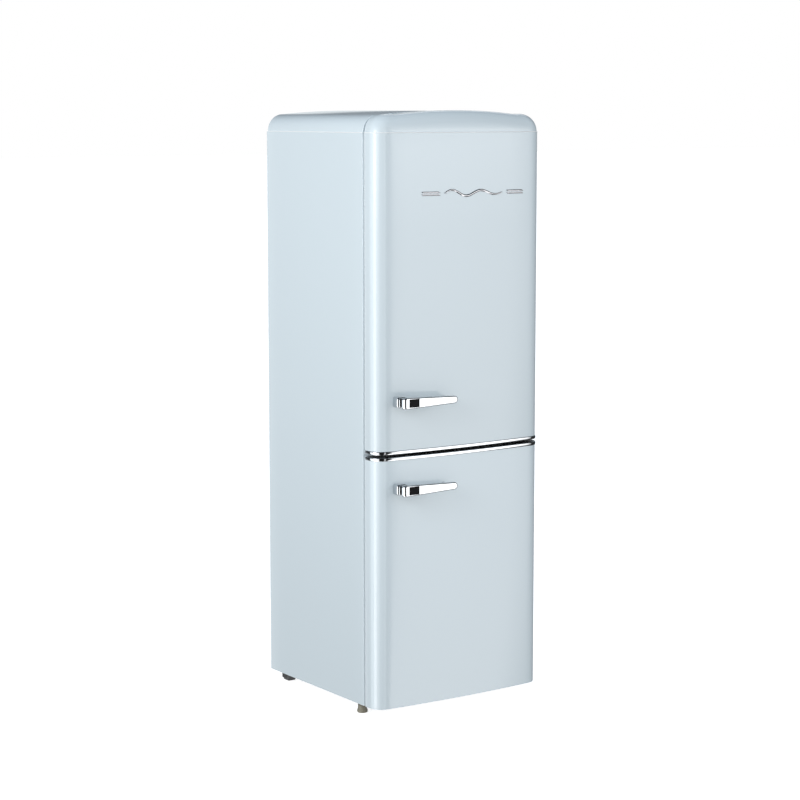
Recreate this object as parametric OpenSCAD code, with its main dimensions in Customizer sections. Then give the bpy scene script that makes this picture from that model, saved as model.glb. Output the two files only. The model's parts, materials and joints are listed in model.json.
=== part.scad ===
// Retro two-door refrigerator: fresh food compartment above, drawer freezer below.
// Origin: on the floor, under the middle of the overall width and depth.
// +X is to the right when facing the doors, the doors face -Y, +Z is up. Millimetres.

/* [Cabinet] */
// Width of the cabinet and the doors
body_w = 550; // [546:1:556]
// Height from the floor to the top of the crown
body_h = 1634; // [1626:1:1644]
// Height of the body's underside above the floor
foot_h = 32; // [31:1:34]
// Depth of the cabinet without its doors
cabinet_d = 484; // [482:1:492]
// Radius of the rounded shoulders at the top
shoulder_r = 48; // [44:1:50]
// Rise of the top crown above the shoulders
crown_rise = 10; // [6:1:11]
// Distance from the outside of a side wall to the interior
side_wall = 40; // [39:1:42]
// Distance from the outside of the back wall to the interior
back_wall = 55; // [54:1:58]
// Sheet thickness of the painted steel panels
sheet_t = 1; // [0.8:0.1:1.2]
// Wall thickness of the vacuum-formed liners
liner_t = 1.5; // [1.2:0.1:1.8]
// Wall thickness of the moulded top cover and door cap
cap_t = 2.5; // [2:0.1:3]

/* [Doors] */
// Thickness of a door from its back to its front corners
door_t = 58; // [56:1:62]
// Gap between a closed door and the cabinet, filled by the gasket
seal_gap = 8; // [7.5:0.1:9]
// Vertical gap between the two doors
door_gap = 8; // [8:0.5:10]
// Height of the middle of the gap between the doors
split_z = 722; // [721:0.5:723]
// Plan radius of the doors' front corners
door_corner_r = 38; // [34:1:42]
// Forward bow of the door fronts between their corners
door_bow = 9.2; // [7:0.1:11]
// Height of the chrome strips along the gap
trim_h = 9; // [7:0.5:11]
// How far the chrome strips stand out of the door
trim_out = 2; // [1.5:0.1:2.5]
// Depth of the rear ridge of the fresh food door's liner
upper_ridge = 42; // [38:1:44]
// Depth of the rear ridge of the freezer door's liner
lower_ridge = 14; // [10:1:15]

/* [Hinges] */
// Distance of the hinge axis from the side of the doors
hinge_in = 13; // [13:0.5:14]
// Distance of the hinge axis in front of the doors' backs
hinge_fwd = 20; // [19:0.5:21]
// Radius of the hinge pins
pin_r = 4; // [3.5:0.1:4.5]
// Radial clearance of the pins, studs and shafts in their bores
run_gap = 0.05; // [0.03:0.01:0.08]

/* [Handles] */
// Distance from the doors' front corners to the front of the handles
handle_out = 55; // [52:1:58]
// Left end of the levers, measured from the middle of the doors
lever_left = -226; // [-230:1:-222]
// Right end of the levers, measured from the middle of the doors
lever_right = -49; // [-60:1:-40]
// Height of a lever at its left end
lever_h = 31; // [28:1:33]
// Height of a lever at its tip
lever_tip_h = 20; // [16:1:24]
// Height of the upper handle
upper_handle_z = 867; // [860:1:880]
// Height of the lower handle
lower_handle_z = 633; // [620:1:640]

/* [Interior] */
// Number of glass shelves, the crisper's cover among them
shelf_count = 4; // [3:1:4]
// Height of the lowest glass shelf, which covers the crisper
first_shelf_z = 930; // [926:1:936]
// Distance from one glass shelf to the next
shelf_pitch = 155; // [150:1:158]
// Thickness of the glass shelves
glass_t = 4; // [3:0.5:5]
// Wall thickness of the crisper, the door bins and the freezer drawers
tub_t = 2.5; // [2:0.1:3]

/* [Rear] */
// Distance from the back panel to the rear of the condenser
condenser_out = 25; // [24:0.5:27]
// Number of straight runs in the condenser
coil_runs = 20; // [12:2:20]
// Distance from one condenser run to the next
coil_pitch = 60; // [56:1:62]
// Number of condenser wires on each side of the tube
wire_count = 16; // [8:2:20]

/* [Hidden] */

// Colours
POWDER_BLUE = [0.80, 0.87, 0.90];
BRIGHT_CHROME = [0.85, 0.86, 0.88];
SMOKED_CHROME = [0.50, 0.50, 0.52];
LINER_WHITE = [0.94, 0.95, 0.96];
CLEAR_TUB = [0.80, 0.90, 0.95, 0.5];
FOAM_CREAM = [0.93, 0.87, 0.70];
RUBBER_GREY = [0.80, 0.82, 0.83];
STEEL_GREY = [0.55, 0.57, 0.60];
SOFT_BLACK = [0.10, 0.10, 0.11];
FOOT_GREY = [0.47, 0.46, 0.41];
COPPER = [0.72, 0.45, 0.30];

$fn = 48;
overlap = 1;
corner_steps = 8;
bow_steps = 12;

// Places along the depth, from the handles at the front to the condenser at the rear
half_w = body_w / 2;
overall_d = handle_out + door_t + seal_gap + cabinet_d + condenser_out;
y_handle = -overall_d / 2;
y_door_front = y_handle + handle_out;
y_door_back = y_door_front + door_t;
y_cab_front = y_door_back + seal_gap;
y_cab_back = y_cab_front + cabinet_d;
y_rear = overall_d / 2;
y_inner_back = y_cab_back - back_wall;
y_corner = y_door_front + door_corner_r;

// Places along the height
cover_z = body_h - shoulder_r - crown_rise;
upper_z0 = split_z + door_gap / 2;
lower_z1 = split_z - door_gap / 2;
fresh_z0 = split_z + 32;
fresh_z1 = cover_z - 36;
freezer_z0 = foot_h + 68;
freezer_z1 = split_z - 32;
step_z = 270;
step_y = 90;
half_inner = half_w - side_wall;

// Compressor bay
bay_y = 125;
bay_z1 = 235;
base_t = 2;

// Hinge axis and hinge plates
hinge_x = half_w - hinge_in;
hinge_y = y_door_back - hinge_fwd;
bush_r = 7;
bush_len = 20;
arm_t = 4;
arm_half = 9;
arm_gap = 2;
flange_t = 2.5;
screw_r = 2.5;
screw_head_r = 4.5;
screw_head_h = 2.5;
top_arm_z = cover_z + 1;
mid_arm_z = split_z - arm_t / 2;
low_arm_z = foot_h - arm_t - arm_gap;

// Door build-up
skin_flange = 13;
end_cap_t = 3;
door_liner_t = 2;
y_liner = y_door_back - sheet_t - door_liner_t;
ridge_w = 22;
ridge_half = half_w - 60;
lower_ridge_half = half_w - 75;
gasket_half = half_w - 25;
gasket_w = 14;
gasket_edge = 13;
gasket_clear = 0.5;
trim_end = 4;
pillow_depth = 34;

// Handle build-up
lever_t = 11;
head_t = 18;
head_w = 30;
stack_x = lever_left + head_w / 2 + 1;
stack_w = 30;
stack_h = 29;
lever_corner_r = 5;
tip_post_x = lever_right - 14;
tip_post_r = 5;
window_x0 = lever_left + 18;
window_w = 32;
window_h = 22;
window_t = 1.5;
groove_in = 3;
ring_in = 1;
stack_corner_r = 6;
ring_depth = 4;
groove_depth = 4.5;

// Interior furniture
shelf_y0 = -75;
shelf_y1 = y_inner_back - 10;
rib_w = 8;
rib_h = 8;
shelf_half = half_inner - 4;
trim_depth = 9;
crisper_half = half_inner - 30;
crisper_y0 = -80;
crisper_h = 160;
drawer_y0 = -140;
plate_t = 2;
plate_z = [506, 318];
drawer_h = 165;
bin_half = ridge_half - ridge_w - 3;
bin_lug = 6;
bin_y1 = -95;
top_bin_z = 1330;
middle_bin_z = 1080;
bottle_bin_z = 790;
bin_h = 70;
bottle_bin_h = 110;
housing_half = 110;
housing_y0 = -146;
housing_y1 = 0;
housing_h = 40;
housing_z = fresh_z1 - housing_h;
knob_x = 68;
knob_y = -104;
knob_r = 19;
knob_h = 16;
shaft_r = 3;
switch_x = -80;
switch_z = housing_z + housing_h / 2;
switch_r = 4;
lens_x0 = -60;
lens_x1 = 40;

// Rear parts
tube_r = 2.5;
wire_r = 1;
coil_y = y_rear - 2 * wire_r - tube_r;
coil_z0 = 330;
coil_half = 175;
bend_r = coil_pitch / 2;
bend_steps = 5;
tube_sides = 8;
compressor_x = -40;
compressor_y = bay_y + 84;
compressor_r = 70;
compressor_z0 = 50;
compressor_h = 140;
drier_x = 150;
drier_r = 9;
pipe_r = 2;

// Feet
foot_x = half_w - 28;
foot_y = y_cab_front + 48;
foot_r = 14.5;
foot_pad_h = 24;
foot_neck_r = 9;
stud_r = 4;
stud_top = foot_h + 24;
rear_foot_w = 31;
rear_foot_d = 35;
rear_foot_x = half_w - 60;
rear_foot_y = y_cab_back - 49;

// Badge
badge_z = 1414;
badge_t = 2.5;
bar_x = [-107, 175];
bar_w = 60;
bar_h = 4;
bar_slant = 5;
bar_offset = 3.2;
ribbon_x = 34;
ribbon_half = 88;
ribbon_t = 1.7;
ribbon_swing = 13;
ribbon_fade = 0.55;
ribbon_waves = 2;
ribbon_steps = 48;

// ---- Outline functions ----

// Radius left after the corner radius is taken off the crown arc
function crown_core(w, r, rise) = (pow(w - r, 2) + pow(rise, 2)) / (2 * rise);

// Half angle of the crown arc
function crown_angle(w, r, rise) = atan((w - r) / (crown_core(w, r, rise) - rise));

// Outline from the left side, round the left corner, over the crown and down the right corner.
// The corner centres lie on the first axis, and the crown rises along the second.
function crowned(w, r, rise, inset) =
    let (core = crown_core(w, r, rise),
        tilt = crown_angle(w, r, rise),
        q = r - inset,
        left = [for (i = [0:corner_steps]) 90 - (90 - tilt) * i / corner_steps],
        top = [for (i = [1:bow_steps - 1]) tilt * (2 * i / bow_steps - 1)])
    concat(
        [for (a = left) [-(w - r) - q * sin(a), q * cos(a)]],
        [for (a = top) [(core + q) * sin(a), (core + q) * cos(a) - core + rise]],
        [for (i = [corner_steps:-1:0]) [w - r + q * sin(left[i]), q * cos(left[i])]]);

// Height of the crown above the corner centres at a distance x from the middle
function crown_at(w, r, rise, x) =
    let (core = crown_core(w, r, rise), side = min(abs(x), w - r))
    sqrt(pow(core + r, 2) - pow(side, 2)) - core + rise;

// Front face of a door at a distance x from the middle
function door_face(x) = y_corner - crown_at(half_w, door_corner_r, door_bow, x);

// Plan outline of a door, closed by a straight back
function door_plan(inset, back) = concat(
    [[-(half_w - inset), back]],
    [for (p = crowned(half_w, door_corner_r, door_bow, inset)) [p[0], y_corner - p[1]]],
    [[half_w - inset, back]]);

// Front outline of the top, closed by a straight underside
function top_outline(inset) = [for (p = crowned(half_w, shoulder_r, crown_rise, inset)) p];

// Plan points of the door cap: the front from left to right, then the back from right to left
function cap_plan() =
    let (front = [for (p = crowned(half_w, door_corner_r, door_bow, 0)) [p[0], y_corner - p[1]]])
    concat(front, [for (i = [len(front) - 1:-1:0]) [front[i][0], y_door_back]]);

// A plan point lifted to the ring at this angle: each ring is smaller and higher than the last
function cap_point(p, angle, t) =
    let (depth = y_door_back - door_face(0),
        turn_in = 1 - cos(angle),
        side_scale = (half_w - t - (shoulder_r - t) * turn_in) / half_w,
        depth_scale = (depth - 2 * t - (pillow_depth - t) * turn_in) / depth,
        tall = crown_at(half_w, shoulder_r, crown_rise, p[0]) - t)
    [p[0] * side_scale, y_door_back - t + (p[1] - y_door_back) * depth_scale, tall * sin(angle)];

// Arc of a circle in a plane
function arc(cx, cy, r, a0, a1, n) =
    [for (i = [0:n]) [cx + r * cos(a0 + (a1 - a0) * i / n), cy + r * sin(a0 + (a1 - a0) * i / n)]];

function unit(v) = v / norm(v);

// Direction of a path at its point i
function path_dir(path, i) = unit(path[min(i + 1, len(path) - 1)] - path[max(i - 1, 0)]);

// ---- Basic shapes ----

module block(x0, x1, y0, y1, z0, z1) {
    translate([x0, y0, z0]) cube([x1 - x0, y1 - y0, z1 - z0]);
}

// Block that is the same on both sides of the middle
module wide_block(half, y0, y1, z0, z1) {
    block(-half, half, y0, y1, z0, z1);
}

module both_sides() {
    children();
    mirror([1, 0, 0]) children();
}

module post(x, y, z0, z1, r) {
    translate([x, y, z0]) cylinder(h = z1 - z0, r = r);
}

// Round bar along Y
module bar_y(x, z, y0, y1, r) {
    translate([x, y1, z]) rotate([90, 0, 0]) cylinder(h = y1 - y0, r = r);
}

// Shape drawn in the X-Z plane and given a thickness along Y
module upright(y0, y1) {
    translate([0, y1, 0]) rotate([90, 0, 0]) linear_extrude(y1 - y0) children();
}

module rounded_outline(w, h, r) {
    polygon(concat(
        arc(w / 2 - r, h / 2 - r, r, 0, 90, 5),
        arc(-w / 2 + r, h / 2 - r, r, 90, 180, 5),
        arc(-w / 2 + r, -h / 2 + r, r, 180, 270, 5),
        arc(w / 2 - r, -h / 2 + r, r, 270, 360, 5)));
}

// Open-topped tub with a flat floor
module tub(half, y0, y1, z0, h) {
    difference() {
        wide_block(half, y0, y1, z0, z0 + h);
        wide_block(half - tub_t, y0 + tub_t, y1 - tub_t, z0 + tub_t, z0 + h + overlap);
    }
}

// Round tube along a path; side_axis is square to the plane that the path mostly lies in
module tube(path, r, side_axis) {
    rings = len(path);
    points = [for (i = [0:rings - 1])
        let (d = path_dir(path, i), u = unit(cross(side_axis, d)), v = cross(d, u))
        for (k = [0:tube_sides - 1])
            path[i] + r * (cos(360 * k / tube_sides) * u + sin(360 * k / tube_sides) * v)];
    walls = [for (i = [0:rings - 2], k = [0:tube_sides - 1])
        let (n = (k + 1) % tube_sides, a = i * tube_sides, b = a + tube_sides)
        each [[a + k, b + k, a + n], [a + n, b + k, b + n]]];
    start_cap = [[for (k = [0:tube_sides - 1]) k]];
    end_cap = [[for (k = [tube_sides - 1:-1:0]) (rings - 1) * tube_sides + k]];
    polyhedron(points = points, faces = concat(walls, start_cap, end_cap));
}

// ---- Cabinet ----

module side_panel() {
    color(POWDER_BLUE) {
        block(half_w - sheet_t, half_w, y_cab_front, y_cab_back, foot_h, cover_z);
        block(half_inner + liner_t, half_w - sheet_t, y_cab_front, y_cab_front + sheet_t,
            foot_h, cover_z);
    }
}

module side_panel_left() {
    mirror([1, 0, 0]) side_panel();
}

module side_panel_right() {
    side_panel();
}

module top_cover() {
    color(POWDER_BLUE) difference() {
        translate([0, 0, cover_z]) upright(y_cab_front, y_cab_back) polygon(top_outline(0));
        translate([0, 0, cover_z]) upright(y_cab_front + cap_t, y_cab_back - cap_t)
            polygon(concat([[-(half_w - cap_t), -overlap]], top_outline(cap_t),
                [[half_w - cap_t, -overlap]]));
        block(hinge_x - arm_half - arm_gap, half_w - cap_t, y_cab_front - overlap,
            y_cab_front + cap_t + overlap, cover_z - overlap, top_arm_z + arm_t + arm_gap);
    }
}

module back_panel() {
    color(STEEL_GREY)
        wide_block(half_w - sheet_t, y_cab_back - sheet_t, y_cab_back, bay_z1 + base_t, cover_z);
}

// Floor sheet, riser and ceiling of the compressor bay in one bent plate, with weld nuts
module base_plate() {
    color(STEEL_GREY) difference() {
        union() {
            wide_block(half_w - sheet_t, y_cab_front + sheet_t, y_cab_back, foot_h, foot_h + base_t);
            wide_block(half_w - sheet_t, bay_y - base_t, bay_y, foot_h + base_t, bay_z1 + base_t);
            wide_block(half_w - sheet_t, bay_y, y_cab_back, bay_z1, bay_z1 + base_t);
            both_sides() post(foot_x, foot_y, foot_h + base_t, stud_top, foot_neck_r);
        }
        both_sides() post(foot_x, foot_y, foot_h - overlap, stud_top + overlap, stud_r + run_gap);
    }
}

// Top rail, divider rail and bottom rail between the side flanges
module front_rails() {
    rails = [[fresh_z1 + liner_t, cover_z], [freezer_z1 + liner_t, fresh_z0 - liner_t],
        [foot_h + base_t, freezer_z0 - liner_t]];
    color(POWDER_BLUE) for (rail = rails)
        wide_block(half_inner + liner_t, y_cab_front, y_cab_front + sheet_t, rail[0], rail[1]);
}

module fresh_space(grow) {
    wide_block(half_inner + grow, y_cab_front - overlap, y_inner_back + grow,
        fresh_z0 - grow, fresh_z1 + grow);
}

module freezer_space(grow) {
    wide_block(half_inner + grow, y_cab_front - overlap, step_y + grow,
        freezer_z0 - grow, freezer_z1 + grow);
    wide_block(half_inner + grow, 0, y_inner_back + grow, step_z - grow, freezer_z1 + grow);
}

module foam_insulation() {
    color(FOAM_CREAM) difference() {
        wide_block(half_w - sheet_t, y_cab_front + sheet_t, y_cab_back - sheet_t,
            foot_h + base_t, cover_z);
        fresh_space(liner_t);
        freezer_space(liner_t);
        wide_block(half_w, bay_y - base_t, y_cab_back, foot_h, bay_z1 + base_t);
        both_sides() post(foot_x, foot_y, foot_h, stud_top + overlap, foot_neck_r);
        cold_wall();
    }
}

module ribs(levels) {
    both_sides() for (z = levels)
        block(half_inner - rib_w, half_inner, shelf_y0 + trim_depth, shelf_y1 - trim_depth,
            z - rib_h, z);
}

module fresh_food_liner() {
    color(LINER_WHITE) {
        difference() {
            wide_block(half_inner + liner_t, y_cab_front, y_inner_back + liner_t,
                fresh_z0 - liner_t, fresh_z1 + liner_t);
            fresh_space(0);
        }
        ribs([for (i = [0:shelf_count - 1]) first_shelf_z + i * shelf_pitch]);
    }
}

module freezer_liner() {
    color(LINER_WHITE) {
        intersection() {
            difference() {
                freezer_space(liner_t);
                freezer_space(0);
            }
            wide_block(half_w, y_cab_front, y_cab_back, foot_h, split_z);
        }
        ribs(plate_z);
    }
}

// ---- Hinges ----

module hinge_arm(y1, z) {
    block(hinge_x - arm_half, hinge_x + arm_half, hinge_y, y1, z, z + arm_t);
    post(hinge_x, hinge_y, z, z + arm_t, arm_half);
}

module hinge_top() {
    color(STEEL_GREY) difference() {
        union() {
            block(half_w - 50, half_w - 4, y_cab_front + 5, y_cab_front + 60,
                cover_z, top_arm_z + arm_t);
            hinge_arm(y_cab_front + 5, top_arm_z);
            post(hinge_x, hinge_y, cover_z - bush_len + overlap, top_arm_z, pin_r);
        }
        for (p = top_screws) post(p[0], p[1], cover_z - overlap, body_h, screw_r + run_gap);
    }
}

module hinge_middle() {
    color(STEEL_GREY) difference() {
        union() {
            block(gasket_half + 2, half_w - 1, y_cab_front - flange_t, y_cab_front,
                split_z - 22, split_z + 22);
            hinge_arm(y_cab_front - flange_t, mid_arm_z);
            post(hinge_x, hinge_y, lower_z1 - bush_len + overlap, upper_z0 + bush_len - overlap,
                pin_r);
        }
        for (z = mid_screws)
            bar_y(hinge_x + 1, z, y_cab_front - flange_t - overlap, y_cab_front + overlap,
                screw_r + run_gap);
    }
}

module hinge_bottom() {
    color(STEEL_GREY) difference() {
        union() {
            block(half_w - 60, half_w - 4, y_cab_front + 2, y_cab_front + 29, low_arm_z, foot_h);
            hinge_arm(y_cab_front + 2, low_arm_z);
            post(hinge_x, hinge_y, low_arm_z + arm_t, foot_h + bush_len - overlap, pin_r);
        }
        for (p = low_screws) post(p[0], p[1], low_arm_z - overlap, foot_h + overlap, screw_r + run_gap);
    }
}

top_screws = [[half_w - 38, y_cab_front + 20], [half_w - 38, y_cab_front + 45],
    [half_w - 16, y_cab_front + 45]];
mid_screws = [split_z - 14, split_z + 14];
low_screws = [[half_w - 48, y_cab_front + 16], [half_w - 20, y_cab_front + 16]];

module hinge_screws() {
    color(STEEL_GREY) {
        for (p = top_screws) {
            post(p[0], p[1], cover_z, top_arm_z + arm_t, screw_r);
            post(p[0], p[1], top_arm_z + arm_t, top_arm_z + arm_t + screw_head_h, screw_head_r);
        }
        for (z = mid_screws) {
            bar_y(hinge_x + 1, z, y_cab_front - flange_t, y_cab_front, screw_r);
        }
        for (p = low_screws) {
            post(p[0], p[1], low_arm_z, foot_h, screw_r);
            post(p[0], p[1], low_arm_z - screw_head_h, low_arm_z, screw_head_r);
        }
    }
}

// ---- Interior furniture ----

module each_shelf() {
    for (i = [0:shelf_count - 1]) translate([0, 0, first_shelf_z + i * shelf_pitch]) children();
}

module glass_shelves() {
    color([0.75, 0.90, 0.88, 0.4]) each_shelf()
        wide_block(shelf_half, shelf_y0 + trim_depth, shelf_y1 - trim_depth, 0, glass_t);
}

module shelf_trims() {
    color(LINER_WHITE) each_shelf() {
        trim_bar(shelf_y0, shelf_y0 + trim_depth);
        trim_bar(shelf_y1 - trim_depth, shelf_y1);
    }
}

module trim_bar(y0, y1) {
    wide_block(shelf_half, y0, y1, -2, glass_t + 6);
}

module control_housing() {
    wall = 2.5;
    color(LINER_WHITE) difference() {
        wide_block(housing_half, housing_y0, housing_y1, housing_z, fresh_z1);
        wide_block(housing_half - wall, housing_y0 + wall, housing_y1 - wall,
            housing_z + wall, fresh_z1 + overlap);
        block(lens_x0, lens_x1, housing_y0 + 20, housing_y1 - 20, housing_z - overlap,
            housing_z + wall + overlap);
        post(knob_x, knob_y, housing_z - overlap, housing_z + wall + overlap, shaft_r + run_gap);
        bar_y(switch_x, switch_z, housing_y0 - overlap, housing_y0 + wall + overlap,
            switch_r + run_gap);
    }
}

module lamp_lens() {
    color([1, 0.98, 0.90, 0.7])
        block(lens_x0, lens_x1, housing_y0 + 20, housing_y1 - 20, housing_z - 4, housing_z + 2);
}

// Round knob with a raised grip, under the control housing
module thermostat_knob() {
    color(LINER_WHITE) {
        post(knob_x, knob_y, housing_z - 5, housing_z - 1, knob_r);
        block(knob_x - 3, knob_x + 3, knob_y - knob_r + 2, knob_y + knob_r - 2,
            housing_z - knob_h, housing_z - 5);
        post(knob_x, knob_y, housing_z - 1, housing_z + 12, shaft_r);
    }
}

module light_switch() {
    color(LINER_WHITE)
        bar_y(switch_x, switch_z, y_door_back - sheet_t + upper_ridge + gasket_clear,
            housing_y0 + 16, switch_r);
}

module cold_wall() {
    wide_block(half_inner - 55, y_inner_back + liner_t, y_inner_back + liner_t + plate_t,
        first_shelf_z, first_shelf_z + 3 * shelf_pitch);
}

module evaporator_plates() {
    color([0.80, 0.82, 0.84]) {
        for (z = plate_z) wide_block(shelf_half, drawer_y0, y_inner_back - 5, z, z + plate_t);
        cold_wall();
    }
}

// Tub with a tall front that has a finger pull
module drawer(half, y0, y1, z0, h) {
    front_extra = 6;
    color(CLEAR_TUB) difference() {
        union() {
            tub(half, y0, y1, z0, h - front_extra);
            wide_block(half, y0, y0 + tub_t, z0, z0 + h);
        }
        upright(y0 - overlap, y0 + tub_t + overlap) translate([0, z0 + h - 22])
            rounded_outline(110, 18, 6);
    }
}

module crisper_drawer() {
    drawer(crisper_half, crisper_y0, y_inner_back - 15, fresh_z0 + 2, crisper_h);
}

module top_freezer_drawer() {
    drawer(crisper_half, drawer_y0, y_inner_back - 15, plate_z[0] + plate_t + 1, drawer_h);
}

module middle_freezer_drawer() {
    drawer(crisper_half, drawer_y0, y_inner_back - 15, plate_z[1] + plate_t + 1, drawer_h);
}

module bottom_freezer_drawer() {
    drawer(crisper_half, drawer_y0, step_y - 10, freezer_z0 + 2, plate_z[1] - freezer_z0 - 16);
}

// ---- Machine compartment and condenser ----

module compressor() {
    dome = 45;
    color(SOFT_BLACK) translate([compressor_x, compressor_y, compressor_z0]) {
        rotate_extrude() polygon(concat([[0, 0], [compressor_r - 14, 0]],
            arc(compressor_r - 14, 14, 14, -90, 0, 4),
            [for (a = [0:15:90]) [compressor_r * cos(a), compressor_h - dome + dome * sin(a)]]));
        translate([-compressor_r + 5, -compressor_r + 5, -3])
            cube([2 * compressor_r - 10, 2 * compressor_r - 10, 3]);
    }
}

module compressor_mounts() {
    color(SOFT_BLACK) for (sx = [-1, 1], sy = [-1, 1])
        post(compressor_x + sx * 52, compressor_y + sy * 52, foot_h + base_t, compressor_z0 - 3, 9);
}

// Box for the start relay, with the cord gland on its outer side
module relay_box() {
    x0 = compressor_x + compressor_r;
    color(SOFT_BLACK) {
        block(x0, x0 + 38, compressor_y - 28, compressor_y + 28, 80, 140);
        translate([x0 + 38, compressor_y, 110]) rotate([0, 90, 0]) difference() {
            cylinder(h = 14, r = 8);
            translate([0, 0, 2]) cylinder(h = 14, r = 4);
        }
    }
}

module drip_tray() {
    z0 = compressor_z0 + compressor_h;
    color(SOFT_BLACK) difference() {
        block(compressor_x - 85, compressor_x + 85, bay_y + 14, y_cab_back - 16, z0, z0 + 24);
        block(compressor_x - 83, compressor_x + 83, bay_y + 16, y_cab_back - 18, z0 + 2, z0 + 25);
    }
}

function coil_side(i) = i % 2 == 0 ? 1 : -1;

// Serpentine centre line: straight runs joined by half-turn bends at alternate ends
function coil_path() = [for (i = [0:coil_runs - 1])
    let (s = coil_side(i), z = coil_z0 + i * coil_pitch)
    each concat(
        [[-s * coil_half, coil_y, z], [s * coil_half, coil_y, z]],
        i == coil_runs - 1 ? [] : [for (k = [1:bend_steps - 1]) let (a = 180 * k / bend_steps - 90)
            [s * (coil_half + bend_r * cos(a)), coil_y, z + bend_r + bend_r * sin(a)]])];

module condenser_coil() {
    color(SOFT_BLACK) tube(coil_path(), tube_r, [0, 1, 0]);
}

// Wires across the runs on both sides of the tube, and the four standoffs on the back panel
module condenser_wires() {
    top = coil_z0 + (coil_runs - 1) * coil_pitch;
    color(SOFT_BLACK) {
        for (k = [0:wire_count - 1], side = [-1, 1])
            post(-coil_half + 2 * coil_half * k / (wire_count - 1), coil_y + side * (tube_r + wire_r),
                coil_z0 - 12, top + 12, wire_r);
        both_sides() for (z = [coil_z0 + coil_pitch, top - coil_pitch])
            block(coil_half - 22, coil_half - 4, y_cab_back, coil_y - tube_r - 2 * wire_r, z - 8, z + 8);
    }
}

// Discharge line up to the condenser's first run, and return line from its last run to the drier
module refrigerant_pipes() {
    top = coil_z0 + (coil_runs - 1) * coil_pitch;
    x1 = compressor_x - compressor_r;
    rise_x = -coil_half - 30;
    fall_x = -coil_half - 44;
    out_y = y_cab_back + 4;
    color(COPPER) {
        tube([[x1 - 1, compressor_y, 90], [x1 - 16, compressor_y, 90],
            [x1 - 26, compressor_y, 100], [x1 - 26, compressor_y, 190],
            [x1 - 28, compressor_y + 14, 208], [x1 - 32, out_y - 16, 214],
            [x1 - 44, out_y, 216], [rise_x + 12, coil_y, 218], [rise_x, coil_y, 232],
            [rise_x, coil_y, coil_z0 - 14], [rise_x + 12, coil_y, coil_z0],
            [-coil_half - 0.5, coil_y, coil_z0]], pipe_r, [0.2, 0.9, 0.3]);
        tube([[-coil_half - 0.5, coil_y, top], [fall_x + 14, coil_y, top],
            [fall_x, coil_y, top - 14], [fall_x, coil_y, coil_z0],
            [fall_x, coil_y - 9, coil_z0 - 30], [fall_x, coil_y - 9, 262],
            [fall_x + 16, coil_y - 9, 246], [drier_x - 18, coil_y - 9, 246],
            [drier_x, coil_y - 12, 238], [drier_x, out_y - 10, 224],
            [drier_x, compressor_y + 16, 212], [drier_x, compressor_y, 202],
            [drier_x, compressor_y, 190.5]], pipe_r, [0.2, 0.9, 0.3]);
        filter_drier();
    }
}

module filter_drier() {
    translate([drier_x, compressor_y, 70]) rotate_extrude()
        polygon([[0, 0], [3, 0], [3, 10], [drier_r, 18], [drier_r, 100], [3, 110], [3, 120], [0, 120]]);
}

// ---- Feet ----

module rear_feet() {
    color([0.32, 0.32, 0.32]) both_sides() {
        block(rear_foot_x, rear_foot_x + rear_foot_w, rear_foot_y, rear_foot_y + rear_foot_d,
            6, foot_h);
        block(rear_foot_x + 3, rear_foot_x + rear_foot_w - 3, rear_foot_y + 3,
            rear_foot_y + rear_foot_d - 3, 0, 6);
    }
}

module front_foot() {
    color(FOOT_GREY) {
        translate([foot_x, foot_y, 0]) rotate_extrude() polygon([[0, 0], [foot_r - 1.5, 0],
            [foot_r, 1.5], [foot_r, 7], [foot_r - 1.5, 8.5], [foot_r - 1.5, foot_pad_h],
            [foot_neck_r, foot_pad_h], [foot_neck_r, foot_h - 0.5], [stud_r, foot_h - 0.5],
            [stud_r, stud_top], [0, stud_top]]);
    }
}

module front_foot_left() {
    mirror([1, 0, 0]) front_foot();
}

module front_foot_right() {
    front_foot();
}

// ---- Doors ----

module door_slab(z0, z1, inset, back) {
    translate([0, 0, z0]) linear_extrude(z1 - z0) polygon(door_plan(inset, back));
}

// Painted sheet round the front and sides, returned behind the liner's edge
module door_skin(z0, z1) {
    color(POWDER_BLUE) difference() {
        door_slab(z0, z1, 0, y_door_back);
        door_slab(z0 - overlap, z1 + overlap, sheet_t, y_door_back - sheet_t);
        wide_block(half_w - skin_flange, y_door_back - 2 * sheet_t, y_door_back + overlap,
            z0 - overlap, z1 + overlap);
    }
}

module door_end(z0, colour) {
    color(colour) difference() {
        door_slab(z0, z0 + end_cap_t, sheet_t, y_liner);
        post(hinge_x, hinge_y, z0 - overlap, z0 + end_cap_t + overlap, bush_r);
    }
}

// Raised frame on the back of a door liner
module ridge(half, depth, z0, z1, shrink) {
    y0 = y_liner - overlap * (shrink > 0 ? 1 : 0);
    y1 = y_door_back - sheet_t + depth - shrink;
    difference() {
        wide_block(half - shrink, y0, y1, z0 + shrink, z1 - shrink);
        wide_block(half - ridge_w + shrink, y0 - overlap, y1 + overlap,
            z0 + ridge_w - shrink, z1 - ridge_w + shrink);
    }
}

module door_foam(z0, z1, half, depth, ridge_z0, ridge_z1, bushes) {
    color(FOAM_CREAM) difference() {
        union() {
            door_slab(z0, z1, sheet_t, y_liner);
            intersection() {
                ridge(half, depth, ridge_z0, ridge_z1, liner_t);
                wide_block(half_w, y_liner, 0, z0, z1);
            }
        }
        for (z = bushes) post(hinge_x, hinge_y, z, z + bush_len, bush_r);
    }
}

module door_liner(z0, z1, half, depth, ridge_z0, ridge_z1, bin_levels) {
    color(LINER_WHITE) {
        difference() {
            union() {
                wide_block(half_w - sheet_t, y_liner, y_door_back - sheet_t, z0, z1);
                ridge(half, depth, ridge_z0, ridge_z1, 0);
            }
            ridge(half, depth, ridge_z0, ridge_z1, liner_t);
        }
        both_sides() for (z = bin_levels)
            block(bin_half - bin_lug, half - ridge_w, y_door_back - sheet_t, y_door_back + 30,
                z - 10, z);
    }
}

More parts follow.
